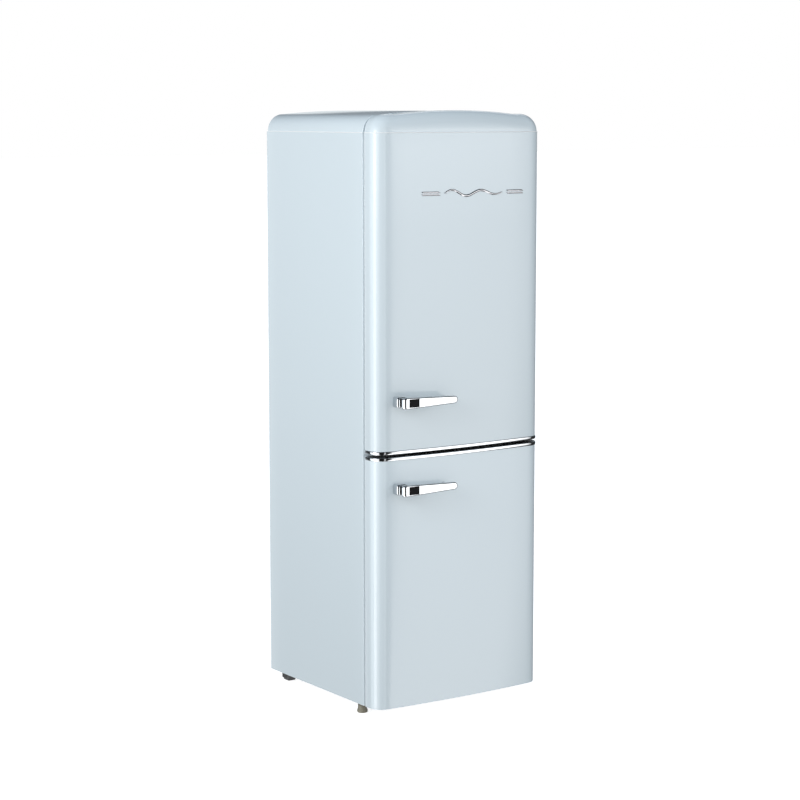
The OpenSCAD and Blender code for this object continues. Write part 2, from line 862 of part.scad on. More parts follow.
module door_gasket(z0, z1) {
    color(RUBBER_GREY) difference() {
        wide_block(gasket_half, y_door_back - sheet_t, y_cab_front - gasket_clear, z0, z1);
        wide_block(gasket_half - gasket_w, y_door_back - 2 * sheet_t, y_cab_front + overlap,
            z0 + gasket_w, z1 - gasket_w);
    }
}

module door_trim(z0) {
    color(BRIGHT_CHROME) difference() {
        door_slab(z0, z0 + trim_h, -trim_out, y_door_back - trim_end);
        door_slab(z0 - overlap, z0 + trim_h + overlap, 0, y_door_back);
    }
}

module door_bushes(levels) {
    color(RUBBER_GREY) for (z = levels) difference() {
        post(hinge_x, hinge_y, z, z + bush_len, bush_r);
        post(hinge_x, hinge_y, z - overlap, z + bush_len + overlap, pin_r + run_gap);
    }
}

// Domed cap inside the walls of thickness t, from rings that close in towards the crown
module cap_shape(t) {
    plan = cap_plan();
    count = len(plan);
    half = count / 2;
    steps = 6;
    top = steps * count;
    points = [for (i = [0:steps], p = plan) cap_point(p, 90 * i / steps, t)];
    walls = [for (i = [0:steps - 1], k = [0:count - 1])
        let (n = (k + 1) % count, low = i * count, high = low + count)
        each [[low + k, high + k, high + n], [low + k, high + n, low + n]]];
    crown = [for (k = [0:half - 2])
        let (front = top + k, back = top + count - 1 - k)
        each [[front, back, back - 1], [front, back - 1, front + 1]]];
    underside = [[for (k = [0:count - 1]) k]];
    polyhedron(points = points, faces = concat(walls, crown, underside));
}

upper_ridge_z0 = upper_z0 + gasket_edge + gasket_w + 6;
upper_ridge_z1 = fresh_z1 - 10;
lower_ridge_z0 = freezer_z0 + 10;
lower_ridge_z1 = freezer_z1 - 10;
upper_bushes = [upper_z0, cover_z - bush_len];
lower_bushes = [foot_h, lower_z1 - bush_len];

module upper_door_skin() {
    door_skin(upper_z0, cover_z);
}

// Moulded cap with the crown's rounding; the hinge arm turns in the slot at its rear corner
module upper_door_cap() {
    color(POWDER_BLUE) translate([0, 0, cover_z]) difference() {
        cap_shape(0);
        translate([0, 0, -0.01]) cap_shape(cap_t);
        block(hinge_x - arm_half - arm_gap - 1, half_w + overlap, hinge_y - 18,
            y_door_back + overlap, -overlap, arm_t + 3);
    }
}

module upper_door_base() {
    door_end(upper_z0, SOFT_BLACK);
}

module upper_door_foam() {
    door_foam(upper_z0 + end_cap_t, cover_z, ridge_half, upper_ridge, upper_ridge_z0,
        upper_ridge_z1, upper_bushes);
}

module upper_door_liner() {
    door_liner(upper_z0, cover_z, ridge_half, upper_ridge, upper_ridge_z0, upper_ridge_z1,
        [top_bin_z, middle_bin_z, bottle_bin_z]);
}

module upper_door_gasket() {
    door_gasket(upper_z0 + gasket_edge, cover_z - gasket_edge);
}

module upper_door_trim() {
    door_trim(upper_z0);
}

module upper_door_bushes() {
    door_bushes(upper_bushes);
}

module lower_door_skin() {
    door_skin(foot_h, lower_z1);
}

module lower_door_top() {
    door_end(lower_z1 - end_cap_t, SOFT_BLACK);
}

module lower_door_base() {
    door_end(foot_h, LINER_WHITE);
}

module lower_door_foam() {
    door_foam(foot_h + end_cap_t, lower_z1 - end_cap_t, lower_ridge_half, lower_ridge,
        lower_ridge_z0, lower_ridge_z1, lower_bushes);
}

module lower_door_liner() {
    door_liner(foot_h, lower_z1, lower_ridge_half, lower_ridge, lower_ridge_z0,
        lower_ridge_z1, []);
}

module lower_door_gasket() {
    door_gasket(foot_h + gasket_edge, lower_z1 - gasket_edge);
}

module lower_door_trim() {
    door_trim(lower_z1 - trim_h);
}

module lower_door_bushes() {
    door_bushes(lower_bushes);
}

module door_bin(z, h) {
    color(CLEAR_TUB) tub(bin_half, y_door_back, bin_y1, z, h);
}

module top_bin() {
    door_bin(top_bin_z, bin_h);
}

module middle_bin() {
    door_bin(middle_bin_z, bin_h);
}

module bottle_bin() {
    door_bin(bottle_bin_z, bottle_bin_h);
}

// ---- Handles ----

// Stack of a block, a groove, a ring and a groove under the lever's head, and the tip's post.
// Both stand on the door, so their backs follow its bow.
module handle_base(z) {
    groove1_y = y_handle + head_t;
    ring_y = groove1_y + groove_depth;
    groove2_y = ring_y + ring_depth;
    block_y = groove2_y + groove_depth;
    color(BRIGHT_CHROME) translate([0, 0, z]) difference() {
        union() {
            stack_piece(groove1_y, ring_y, groove_in);
            stack_piece(ring_y, groove2_y, ring_in);
            stack_piece(groove2_y, block_y, groove_in);
            stack_piece(block_y, y_door_front, 0);
            bar_y(tip_post_x, 0, y_handle + lever_t, y_door_front, tip_post_r);
        }
        door_slab(-stack_h, stack_h, 0, y_door_back);
    }
}

module stack_piece(y0, y1, inset) {
    upright(y0, y1) translate([stack_x, 0])
        rounded_outline(stack_w - 2 * inset, stack_h - 2 * inset, stack_corner_r);
}

// Lever outline: square-shouldered at the left, tapering to a round tip
function lever_outline() = concat(
    arc(lever_left + lever_corner_r, lever_h / 2 - lever_corner_r, lever_corner_r, 180, 90, 4),
    arc(lever_right - lever_tip_h / 2, 0, lever_tip_h / 2, 85, -85, 10),
    arc(lever_left + lever_corner_r, -lever_h / 2 + lever_corner_r, lever_corner_r, 270, 180, 4));

module handle_lever(z) {
    color(BRIGHT_CHROME) translate([0, 0, z]) difference() {
        union() {
            upright(y_handle, y_handle + lever_t) polygon(lever_outline());
            upright(y_handle + lever_t, y_handle + head_t) translate([stack_x, 0])
                rounded_outline(head_w, lever_h, lever_corner_r);
        }
        block(window_x0, window_x0 + window_w, y_handle - overlap, y_handle + window_t,
            -window_h / 2, window_h / 2);
    }
}

module handle_inlay(z) {
    color(SOFT_BLACK) block(window_x0, window_x0 + window_w, y_handle, y_handle + window_t,
        z - window_h / 2, z + window_h / 2);
}

module upper_handle_base() {
    handle_base(upper_handle_z);
}

module upper_handle_lever() {
    handle_lever(upper_handle_z);
}

module upper_handle_inlay() {
    handle_inlay(upper_handle_z);
}

module lower_handle_base() {
    handle_base(lower_handle_z);
}

module lower_handle_lever() {
    handle_lever(lower_handle_z);
}

module lower_handle_inlay() {
    handle_inlay(lower_handle_z);
}

// ---- Badge ----

// Piece that lies on the bowed door face, x from the middle
module on_door(x, z) {
    core = crown_core(half_w, door_corner_r, door_bow);
    translate([x, door_face(x), z]) rotate([0, 0, asin(x / (core + door_corner_r))])
        upright(-badge_t, 0) children();
}

module slanted_bar(w) {
    polygon([[-w / 2, bar_h / 2], [w / 2 - bar_slant, bar_h / 2],
        [w / 2, -bar_h / 2], [-w / 2 + bar_slant, -bar_h / 2]]);
}

// Ribbon that swings in ever smaller waves along a straight line
function ribbon_y(t) = ribbon_swing * (1 - ribbon_fade * t) * sin(360 * ribbon_waves * t);

module wave_ribbon() {
    edge = [for (i = [0:ribbon_steps]) let (t = i / ribbon_steps)
        [-ribbon_half + 2 * ribbon_half * t, ribbon_y(t)]];
    polygon(concat(
        [for (p = edge) [p[0], p[1] + ribbon_t]],
        [for (i = [ribbon_steps:-1:0]) [edge[i][0], edge[i][1] - ribbon_t]]));
}

module badge() {
    color(SMOKED_CHROME) {
        for (x = bar_x, z = [-bar_offset, bar_offset]) on_door(x, badge_z + z) slanted_bar(bar_w);
        on_door(ribbon_x, badge_z) wave_ribbon();
    }
}

side_panel_left();
side_panel_right();
top_cover();
back_panel();
base_plate();
front_rails();
foam_insulation();
fresh_food_liner();
freezer_liner();
hinge_top();
hinge_middle();
hinge_bottom();
hinge_screws();
glass_shelves();
shelf_trims();
control_housing();
lamp_lens();
evaporator_plates();
compressor();
compressor_mounts();
relay_box();
drip_tray();
condenser_coil();
condenser_wires();
refrigerant_pipes();
rear_feet();
front_foot_left();
front_foot_right();
thermostat_knob();
light_switch();
upper_door_skin();
upper_door_cap();
upper_door_base();
upper_door_foam();
upper_door_liner();
upper_door_gasket();
upper_door_trim();
upper_door_bushes();
upper_handle_base();
upper_handle_lever();
upper_handle_inlay();
badge();
top_bin();
middle_bin();
bottle_bin();
lower_door_skin();
lower_door_top();
lower_door_base();
lower_door_foam();
lower_door_liner();
lower_door_gasket();
lower_door_trim();
lower_door_bushes();
lower_handle_base();
lower_handle_lever();
lower_handle_inlay();
crisper_drawer();
top_freezer_drawer();
middle_freezer_drawer();
bottom_freezer_drawer();
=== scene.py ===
import json
import math

import bmesh
import bpy
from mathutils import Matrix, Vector


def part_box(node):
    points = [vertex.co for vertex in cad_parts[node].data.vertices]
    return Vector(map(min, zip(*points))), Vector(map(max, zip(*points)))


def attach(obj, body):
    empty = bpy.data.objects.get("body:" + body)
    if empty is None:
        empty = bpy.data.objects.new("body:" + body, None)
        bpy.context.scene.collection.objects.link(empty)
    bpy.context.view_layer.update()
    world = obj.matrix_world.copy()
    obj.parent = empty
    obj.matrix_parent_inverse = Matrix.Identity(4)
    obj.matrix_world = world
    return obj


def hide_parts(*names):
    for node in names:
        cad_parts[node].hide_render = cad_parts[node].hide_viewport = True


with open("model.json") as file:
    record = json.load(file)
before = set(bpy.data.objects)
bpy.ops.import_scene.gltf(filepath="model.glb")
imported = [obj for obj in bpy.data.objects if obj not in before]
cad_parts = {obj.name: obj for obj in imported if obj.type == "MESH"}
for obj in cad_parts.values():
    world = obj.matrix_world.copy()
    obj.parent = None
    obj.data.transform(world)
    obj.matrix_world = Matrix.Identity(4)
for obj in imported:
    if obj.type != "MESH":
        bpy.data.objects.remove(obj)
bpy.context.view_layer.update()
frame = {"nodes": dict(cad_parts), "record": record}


# ---------------------------------------------------------------- sizes and places, in metres

def span(node):
    """Lowest and highest corner of a CAD node, as vectors."""
    low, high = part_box(node)
    return Vector(low), Vector(high)


def joint(name):
    """The record's joint of this name."""
    return next(j for j in frame["record"]["behaviour"]["joints"] if j["name"] == name)


skin_low, skin_high = span("upper_door_skin")
side_low, side_high = span("side_panel_right")
cover_low, cover_high = span("top_cover")
liner_low, liner_high = span("fresh_food_liner")

HALF_W = skin_high.x
DOOR_BACK = skin_high.y
DOOR_APEX = skin_low.y
COVER_Z = skin_high.z
TOP_Z = cover_high.z
CAB_FRONT = side_low.y
CAB_BACK = side_high.y
BODY_Z = side_low.z
UPPER_Z = skin_low.z
LOWER_TOP = span("lower_door_skin")[1].z
INNER_HALF = liner_high.x - 0.0015

CORNER_R = 0.038
DOOR_BOW = 0.0092
CORNER_Y = DOOR_APEX + CORNER_R + DOOR_BOW
SHOULDER_R = 0.048
CROWN = TOP_Z - COVER_Z - SHOULDER_R
PILLOW = 0.034
SHEET = 0.001
EDGE_R = 0.0022
STEP = 0.0013

HEAD_LEAN = 0.006

HINGE = Vector(joint("upper_door_hinge")["pos_m"])
HALF_PI = math.pi / 2


def crowned(half, radius, rise, inset, corner_steps=18, bow_steps=36):
    """Points (across, out) from the left side, round a corner, over the bow and down the right."""
    core = ((half - radius) ** 2 + rise ** 2) / (2 * rise)
    tilt = math.atan((half - radius) / (core - rise))
    q = radius - inset
    left = [HALF_PI - (HALF_PI - tilt) * i / corner_steps for i in range(corner_steps + 1)]
    bow = [tilt * (2 * i / bow_steps - 1) for i in range(1, bow_steps)]
    points = [(radius - half - q * math.sin(a), q * math.cos(a)) for a in left]
    points += [((core + q) * math.sin(a), (core + q) * math.cos(a) - core + rise) for a in bow]
    points += [(half - radius + q * math.sin(a), q * math.cos(a)) for a in reversed(left)]
    return points


def crown_height(x, half, radius, rise):
    """Height of the bow above the corner centres at x from the middle."""
    core = ((half - radius) ** 2 + rise ** 2) / (2 * rise)
    side = min(abs(x), half - radius)
    return math.sqrt((core + radius) ** 2 - side ** 2) - core + rise


def door_face(x):
    """Where the door's front is at x from the middle."""
    return CORNER_Y - crown_height(x, HALF_W, CORNER_R, DOOR_BOW)


def door_front(inset=0.0):
    """Plan points of the door's front and sides, from the left back to the right back."""
    return [(x, CORNER_Y - out) for x, out in crowned(HALF_W, CORNER_R, DOOR_BOW, inset)]


# ---------------------------------------------------------------- mesh helpers

def shade(mesh, sharp):
    """Smooth shading, but for edges sharper than this angle and round flat ends."""
    mesh.shade_smooth()
    mesh.set_sharp_from_angle(angle=math.radians(sharp))
    for face in mesh.polygons:
        if face.loop_total > 4:
            for k in face.loop_indices:
                mesh.edges[mesh.loops[k].edge_index].use_edge_sharp = True


def make_piece(name, verts, faces, sharp=35.0):
    """A mesh object in the row frame, smooth-shaded but for sharp edges and flat ends."""
    mesh = bpy.data.meshes.new(name)
    mesh.from_pydata([tuple(v) for v in verts], [], faces)
    mesh.validate()
    mesh.update()
    piece = bpy.data.objects.new(name, mesh)
    bpy.context.scene.collection.objects.link(piece)
    bm = bmesh.new()
    bm.from_mesh(mesh)
    bmesh.ops.remove_doubles(bm, verts=bm.verts, dist=1e-6)
    bmesh.ops.recalc_face_normals(bm, faces=bm.faces)
    bm.to_mesh(mesh)
    bm.free()
    shade(mesh, sharp)
    return piece


def loft(rings, closed=True, capped=True, start=0):
    """Vertices and faces of a skin over rings with the same number of points each."""
    count = len(rings[0])
    verts = [v for ring in rings for v in ring]
    faces = []
    last = count if closed else count - 1
    for i in range(len(rings) - 1):
        low, high = start + i * count, start + (i + 1) * count
        for k in range(last):
            n = (k + 1) % count
            faces.append((low + k, low + n, high + n, high + k))
    if capped:
        faces.append(tuple(start + k for k in reversed(range(count))))
        faces.append(tuple(start + (len(rings) - 1) * count + k for k in range(count)))
    return verts, faces


def merge(parts):
    """Several (verts, faces) made with start 0 joined into one."""
    verts, faces = [], []
    for part_verts, part_faces in parts:
        base = len(verts)
        verts += part_verts
        faces += [tuple(base + i for i in face) for face in part_faces]
    return verts, faces


def arc(cx, cy, radius, a0, a1, steps):
    """Points of an arc, angles in degrees."""
    turns = [math.radians(a0 + (a1 - a0) * i / steps) for i in range(steps + 1)]
    return [(cx + radius * math.cos(a), cy + radius * math.sin(a)) for a in turns]


def rounded_rect(x0, x1, z0, z1, radius, steps=6):
    """Closed outline of a rectangle with round corners."""
    r = max(min(radius, (x1 - x0) / 2 - 1e-5, (z1 - z0) / 2 - 1e-5), 1e-5)
    return (arc(x1 - r, z1 - r, r, 0, 90, steps) + arc(x0 + r, z1 - r, r, 90, 180, steps)
            + arc(x0 + r, z0 + r, r, 180, 270, steps) + arc(x1 - r, z0 + r, r, 270, 360, steps))


def normals_2d(path):
    """Unit normals on the left-hand side of an open path."""
    out = []
    for i in range(len(path)):
        ax, ay = path[max(i - 1, 0)]
        bx, by = path[min(i + 1, len(path) - 1)]
        length = math.hypot(bx - ax, by - ay) or 1.0
        out.append((-(by - ay) / length, (bx - ax) / length))
    return out


def offset_path(path, distance):
    """An open path moved to its left."""
    return [(x + nx * distance, y + ny * distance)
            for (x, y), (nx, ny) in zip(path, normals_2d(path))]


def sheet_loft(path, levels, thickness=SHEET):
    """Bent sheet standing on a plan path; levels are (z, inset towards the path's left)."""
    rings = []
    for z, inset in levels:
        outer = offset_path(path, inset)
        inner = offset_path(path, inset + thickness)
        rings.append([(x, y, z) for x, y in outer + inner[::-1]])
    return loft(rings)


def round_levels(z0, z1, low_r, high_r, steps=5):
    """Levels of an upright wall whose lower and upper edges are rounded inwards."""
    low = [(z0 + low_r * (1 - math.sin(a)), low_r * (1 - math.cos(a)))
           for a in (HALF_PI * (1 - i / steps) for i in range(steps + 1))]
    high = [(z1 - high_r * (1 - math.sin(a)), high_r * (1 - math.cos(a)))
            for a in (HALF_PI * i / steps for i in range(steps + 1))]
    return low + high


def slab_y(outline, y0, y1, front_r, back_r=0.0, steps=5):
    """Solid along Y from outline(inset); the front edge at y0 is rounded by front_r."""
    levels = round_levels(y0, y1, front_r, back_r, steps)
    return loft([[(x, y, z) for x, z in outline(inset)] for y, inset in levels])


def lathe(profile, centre, segments=64, axis="z"):
    """Solid of revolution; profile is (radius, height) from one end of the axis to the other."""
    rings = []
    for r, h in profile:
        ring = []
        for k in range(segments):
            a = 2 * math.pi * k / segments
            u, v = max(r, 1e-5) * math.cos(a), max(r, 1e-5) * math.sin(a)
            local = {"z": (u, v, h), "y": (u, h, v), "x": (h, u, v)}[axis]
            ring.append(tuple(centre[i] + local[i] for i in range(3)))
        rings.append(ring)
    return loft(rings)


def sweep(path, section, up=(0, 0, 1)):
    """Solid that carries a closed (side, up) section along a path of 3-D points."""
    up = Vector(up)
    points = [Vector(p) for p in path]
    rings = []
    for i, p in enumerate(points):
        ahead = (points[min(i + 1, len(points) - 1)] - points[max(i - 1, 0)]).normalized()
        side = ahead.cross(up).normalized()
        lift = side.cross(ahead)
        rings.append([tuple(p + side * s + lift * t) for s, t in section])
    return loft(rings)


def cut(piece, low, high):
    """Takes a box out of a piece."""
    verts = [(x, y, z) for z in (low[2], high[2]) for x, y in
             ((low[0], low[1]), (high[0], low[1]), (high[0], high[1]), (low[0], high[1]))]
    faces = [(0, 3, 2, 1), (4, 5, 6, 7), (0, 1, 5, 4), (1, 2, 6, 5), (2, 3, 7, 6), (3, 0, 4, 7)]
    cutter = make_piece("cutter", verts, faces)
    boolean = piece.modifiers.new("slot", "BOOLEAN")
    boolean.operation = "DIFFERENCE"
    boolean.solver = "EXACT"
    boolean.object = cutter
    graph = bpy.context.evaluated_depsgraph_get()
    shaped = bpy.data.meshes.new_from_object(piece.evaluated_get(graph))
    shade(shaped, 45.0)
    piece.modifiers.remove(boolean)
    piece.data = shaped
    bpy.data.objects.remove(cutter)


def finish_piece(piece, body, material, replaces=()):
    """Gives a piece its material and body, and hides the CAD nodes it stands for."""
    piece.data.materials.clear()
    piece.data.materials.append(material)
    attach(piece, body)
    if replaces:
        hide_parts(*replaces)
    return piece


def solidify(piece, thickness, offset):
    """Wall of this thickness; offset -1 is towards the back of the faces, 1 towards the front."""
    wall = piece.modifiers.new("wall", "SOLIDIFY")
    wall.thickness = thickness
    wall.offset = offset
    return piece


def dress(node, material, bevel=0.0008, segments=3, angle=40.0, shrink=0.0):
    """Rounds the edges of a CAD node, or draws its faces in, and gives it its material."""
    piece = frame["nodes"][node]
    weld = piece.modifiers.new("weld", "WELD")
    weld.merge_threshold = 1e-5
    if shrink:
        draw_in = piece.modifiers.new("draw_in", "DISPLACE")
        draw_in.strength = -shrink
        draw_in.mid_level = 0.0
    if bevel:
        edge = piece.modifiers.new("edge", "BEVEL")
        edge.width = bevel
        edge.segments = segments
        edge.limit_method = "ANGLE"
        edge.angle_limit = math.radians(angle)
        edge.harden_normals = True
    piece.data.materials.clear()
    piece.data.materials.append(material)


# ---------------------------------------------------------------- materials

def srgb(r, g, b):
    """Linear colour of an 8-bit sRGB colour."""
    def linear(c):
        c /= 255
        return c / 12.92 if c <= 0.04045 else ((c + 0.055) / 1.055) ** 2.4
    return linear(r), linear(g), linear(b)


def make_material(name, colour, drift=0.03, scale=6.0, rough=0.3, rough_drift=0.05,
                  bump=0.0, bump_scale=400.0, stretch=(1, 1, 1), metallic=0.0, coat=0.0,
                  coat_rough=0.05, transmission=0.0, ior=1.5, spangle=0.0, specular=0.5):
    """Procedural material: colour, roughness and relief each vary over the surface."""
    material = bpy.data.materials.new(name)
    material.use_nodes = True
    nodes, links = material.node_tree.nodes, material.node_tree.links
    shader = nodes["Principled BSDF"]
    shader.inputs["Metallic"].default_value = metallic
    shader.inputs["Coat Weight"].default_value = coat
    shader.inputs["Coat Roughness"].default_value = coat_rough
    shader.inputs["Transmission Weight"].default_value = transmission
    shader.inputs["IOR"].default_value = ior
    shader.inputs["Specular IOR Level"].default_value = specular
    place = nodes.new("ShaderNodeTexCoord")
    mapping = nodes.new("ShaderNodeMapping")
    mapping.inputs["Scale"].default_value = stretch
    links.new(place.outputs["Object"], mapping.inputs["Vector"])

    cloud = nodes.new("ShaderNodeTexNoise")
    cloud.inputs["Scale"].default_value = scale
    cloud.inputs["Detail"].default_value = 4.0
    links.new(mapping.outputs["Vector"], cloud.inputs["Vector"])
    ramp = nodes.new("ShaderNodeValToRGB")
    ramp.color_ramp.elements[0].position = 0.3
    ramp.color_ramp.elements[1].position = 0.7
    ramp.color_ramp.elements[0].color = (*[c * (1 - drift) for c in colour], 1)
    ramp.color_ramp.elements[1].color = (*[min(c * (1 + drift), 1.0) for c in colour], 1)
    links.new(cloud.outputs["Fac"], ramp.inputs["Fac"])
    colour_out = ramp.outputs["Color"]
    if spangle:
        cells = nodes.new("ShaderNodeTexVoronoi")
        cells.inputs["Scale"].default_value = 90.0
        links.new(mapping.outputs["Vector"], cells.inputs["Vector"])
        cell_mix = nodes.new("ShaderNodeMix")
        cell_mix.data_type = "RGBA"
        cell_mix.blend_type = "MULTIPLY"
        cell_mix.inputs["Factor"].default_value = spangle
        grey = nodes.new("ShaderNodeSeparateColor")
        links.new(cells.outputs["Color"], grey.inputs["Color"])
        lift = nodes.new("ShaderNodeMapRange")
        lift.inputs["To Min"].default_value = 0.6
        links.new(grey.outputs["Red"], lift.inputs["Value"])
        links.new(colour_out, cell_mix.inputs["A"])
        links.new(lift.outputs["Result"], cell_mix.inputs["B"])
        colour_out = cell_mix.outputs["Result"]
    links.new(colour_out, shader.inputs["Base Color"])

    smear = nodes.new("ShaderNodeTexNoise")
    smear.inputs["Scale"].default_value = scale * 4
    smear.inputs["Detail"].default_value = 6.0
    links.new(mapping.outputs["Vector"], smear.inputs["Vector"])
    spread = nodes.new("ShaderNodeMapRange")
    spread.inputs["From Min"].default_value = 0.25
    spread.inputs["From Max"].default_value = 0.75
    spread.inputs["To Min"].default_value = max(rough - rough_drift, 0.0)
    spread.inputs["To Max"].default_value = rough + rough_drift
    links.new(smear.outputs["Fac"], spread.inputs["Value"])
    links.new(spread.outputs["Result"], shader.inputs["Roughness"])

    if bump:
        grain = nodes.new("ShaderNodeTexNoise")
        grain.inputs["Scale"].default_value = bump_scale
        grain.inputs["Detail"].default_value = 3.0
        links.new(mapping.outputs["Vector"], grain.inputs["Vector"])
        relief = nodes.new("ShaderNodeBump")
        relief.inputs["Strength"].default_value = bump
        relief.inputs["Distance"].default_value = 0.0004
        links.new(grain.outputs["Fac"], relief.inputs["Height"])
        links.new(relief.outputs["Normal"], shader.inputs["Normal"])
    return material


POWDER = srgb(210, 222, 228)
MAT = {
    "powder_paint": make_material("powder_paint", POWDER, drift=0.0025, scale=0.9, rough=0.28,
                                  rough_drift=0.004, bump=0.003, bump_scale=140.0, coat=1.0,
                                  coat_rough=0.02, specular=0.3),
    "powder_plastic": make_material("powder_plastic", POWDER, drift=0.0025, scale=0.9,
                                    rough=0.30, rough_drift=0.004, bump=0.003,
                                    bump_scale=160.0, coat=1.0, coat_rough=0.03,
                                    specular=0.3),
    "zinc_steel": make_material("zinc_steel", (0.56, 0.58, 0.60), drift=0.05, scale=20.0,
                                rough=0.38, rough_drift=0.08, bump=0.08, bump_scale=600.0,
                                metallic=1.0, spangle=0.5),
    "pu_foam": make_material("pu_foam", (0.86, 0.78, 0.56), drift=0.12, scale=60.0, rough=0.85,
                             rough_drift=0.1, bump=0.8, bump_scale=500.0),
    "liner_plastic": make_material("liner_plastic", (0.84, 0.86, 0.87), drift=0.012, scale=5.0,
                                   rough=0.34, rough_drift=0.05, bump=0.05, bump_scale=700.0,
                                   coat=0.15, coat_rough=0.2),
    "shelf_glass": make_material("shelf_glass", (0.80, 0.93, 0.90), drift=0.02, scale=4.0,
                                 rough=0.03, rough_drift=0.02, transmission=0.92, ior=1.52),
    "lens_plastic": make_material("lens_plastic", (0.93, 0.92, 0.86), drift=0.03, scale=30.0,
                                  rough=0.5, rough_drift=0.08, bump=0.5, bump_scale=900.0,
                                  transmission=0.35),
    "clear_plastic": make_material("clear_plastic", (0.82, 0.91, 0.95), drift=0.03, scale=8.0,
                                   rough=0.14, rough_drift=0.05, bump=0.05, bump_scale=300.0,
                                   transmission=0.8, ior=1.49),
    "evaporator_aluminium": make_material("evaporator_aluminium", (0.80, 0.81, 0.82),
                                          drift=0.06, scale=14.0, rough=0.35,
                                          rough_drift=0.08, bump=0.15, bump_scale=300.0,
                                          stretch=(1, 12, 1), metallic=1.0),
    "black_enamel": make_material("black_enamel", (0.012, 0.012, 0.014), drift=0.2, scale=12.0,
                                  rough=0.35, rough_drift=0.1, bump=0.15, bump_scale=350.0,
                                  coat=0.3, coat_rough=0.2),
    "black_rubber": make_material("black_rubber", (0.02, 0.02, 0.02), drift=0.2, scale=30.0,
                                  rough=0.8, rough_drift=0.1, bump=0.4, bump_scale=800.0),
    "black_plastic": make_material("black_plastic", (0.006, 0.006, 0.007), drift=0.2,
                                   scale=20.0, rough=0.25, rough_drift=0.08, bump=0.08,
                                   bump_scale=900.0, specular=0.05),
    "copper_pipe": make_material("copper_pipe", (0.78, 0.40, 0.26), drift=0.12, scale=25.0,
                                 rough=0.32, rough_drift=0.12, bump=0.1, bump_scale=500.0,
                                 metallic=1.0),
    "foot_plastic": make_material("foot_plastic", srgb(128, 124, 110), drift=0.08, scale=40.0,
                                  rough=0.5, rough_drift=0.1, bump=0.25, bump_scale=900.0),
    "rear_foot_plastic": make_material("rear_foot_plastic", srgb(84, 84, 84), drift=0.1,
                                       scale=40.0, rough=0.55, rough_drift=0.1, bump=0.3,
                                       bump_scale=900.0),
    "gasket_rubber": make_material("gasket_rubber", (0.40, 0.43, 0.45), drift=0.04, scale=20.0,
                                   rough=0.55, rough_drift=0.08, bump=0.1, bump_scale=600.0),
    "bright_chrome": make_material("bright_chrome", (0.67, 0.69, 0.71), drift=0.015,
                                   scale=8.0, rough=0.06, rough_drift=0.025, bump=0.015,
                                   bump_scale=160.0, metallic=1.0),
    "badge_metal": make_material("badge_metal", (0.50, 0.50, 0.52), drift=0.03, scale=12.0,
                                 rough=0.14, rough_drift=0.03, bump=0.03, bump_scale=300.0,
                                 metallic=1.0),
    "bush_plastic": make_material("bush_plastic", (0.70, 0.71, 0.72), drift=0.04, scale=30.0,
                                  rough=0.45, rough_drift=0.08, bump=0.1, bump_scale=700.0),
}


# ---------------------------------------------------------------- cabinet shell

def side_panels():
    """Steel sides, folded in at the front and round the back panel."""
    fold = side_low.x
    front_r, back_r = 0.0015, 0.003
    path = ([(fold, CAB_FRONT)]
            + arc(HALF_W - front_r, CAB_FRONT + front_r, front_r, -90, 0, 6)
            + [(HALF_W, CAB_FRONT + (CAB_BACK - CAB_FRONT) * i / 8) for i in range(1, 8)]
            + arc(HALF_W - back_r, CAB_BACK - back_r, back_r, 0, 90, 5)
            + [(HALF_W - 0.014, CAB_BACK)])
    levels = round_levels(BODY_Z, COVER_Z, EDGE_R, 0.0008)
    verts, faces = sheet_loft(path, levels)
    right = make_piece("side_sheet_right", verts, faces)
    left = make_piece("side_sheet_left", [(-x, y, z) for x, y, z in verts], faces)
    for piece, node in ((right, "side_panel_right"), (left, "side_panel_left")):
        finish_piece(piece, "cabinet", MAT["powder_paint"], [node])


def top_cover():
    """Moulded cover with round shoulders and a crown, rounded off at the back."""
    back_r = 0.007

    def outline(inset):
        return [(x, COVER_Z + out) for x, out in
                crowned(HALF_W - STEP, SHOULDER_R - STEP, CROWN, inset)]

    rings = [(CAB_FRONT + EDGE_R * (1 - math.sin(a)), EDGE_R * (1 - math.cos(a)))
             for a in (HALF_PI * (1 - i / 5) for i in range(6))]
    rings.sort()
    rings += [(CAB_BACK - back_r * (1 - math.sin(a)), back_r * (1 - math.cos(a)))
              for a in (HALF_PI * i / 12 for i in range(13))]
    verts, faces = loft([[(x, y, z) for x, z in outline(inset)] for y, inset in rings])
    piece = make_piece("top_cover_shell", verts, faces, sharp=50)
    arm_low, arm_high = span("hinge_top")
    cut(piece, (HINGE.x - 0.011, CAB_FRONT - 0.01, COVER_Z - 0.01),
        (HALF_W - 0.0025, CAB_FRONT + 0.066, arm_high.z + 0.002))
    finish_piece(piece, "cabinet", MAT["powder_plastic"], ["top_cover"])


# ---------------------------------------------------------------- doors

def skin_path():
    """Plan path of a door skin: back flange, left side, front, right side, back flange."""
    fold, r = HALF_W - 0.013, 0.0025
    front = door_front()
    left = [(-fold, DOOR_BACK)] + arc(-HALF_W + r, DOOR_BACK - r, r, 90, 180, 4)
    right = arc(HALF_W - r, DOOR_BACK - r, r, 0, 90, 4) + [(fold, DOOR_BACK)]
    return left + front + right


def door_skin(name, node, body, z0, z1, low_r, high_r):
    """Painted sheet of a door, bowed in front and folded behind."""
    verts, faces = sheet_loft(skin_path(), round_levels(z0, z1, low_r, high_r))
    piece = make_piece(name, verts, faces)
    finish_piece(piece, body, MAT["powder_paint"], [node])


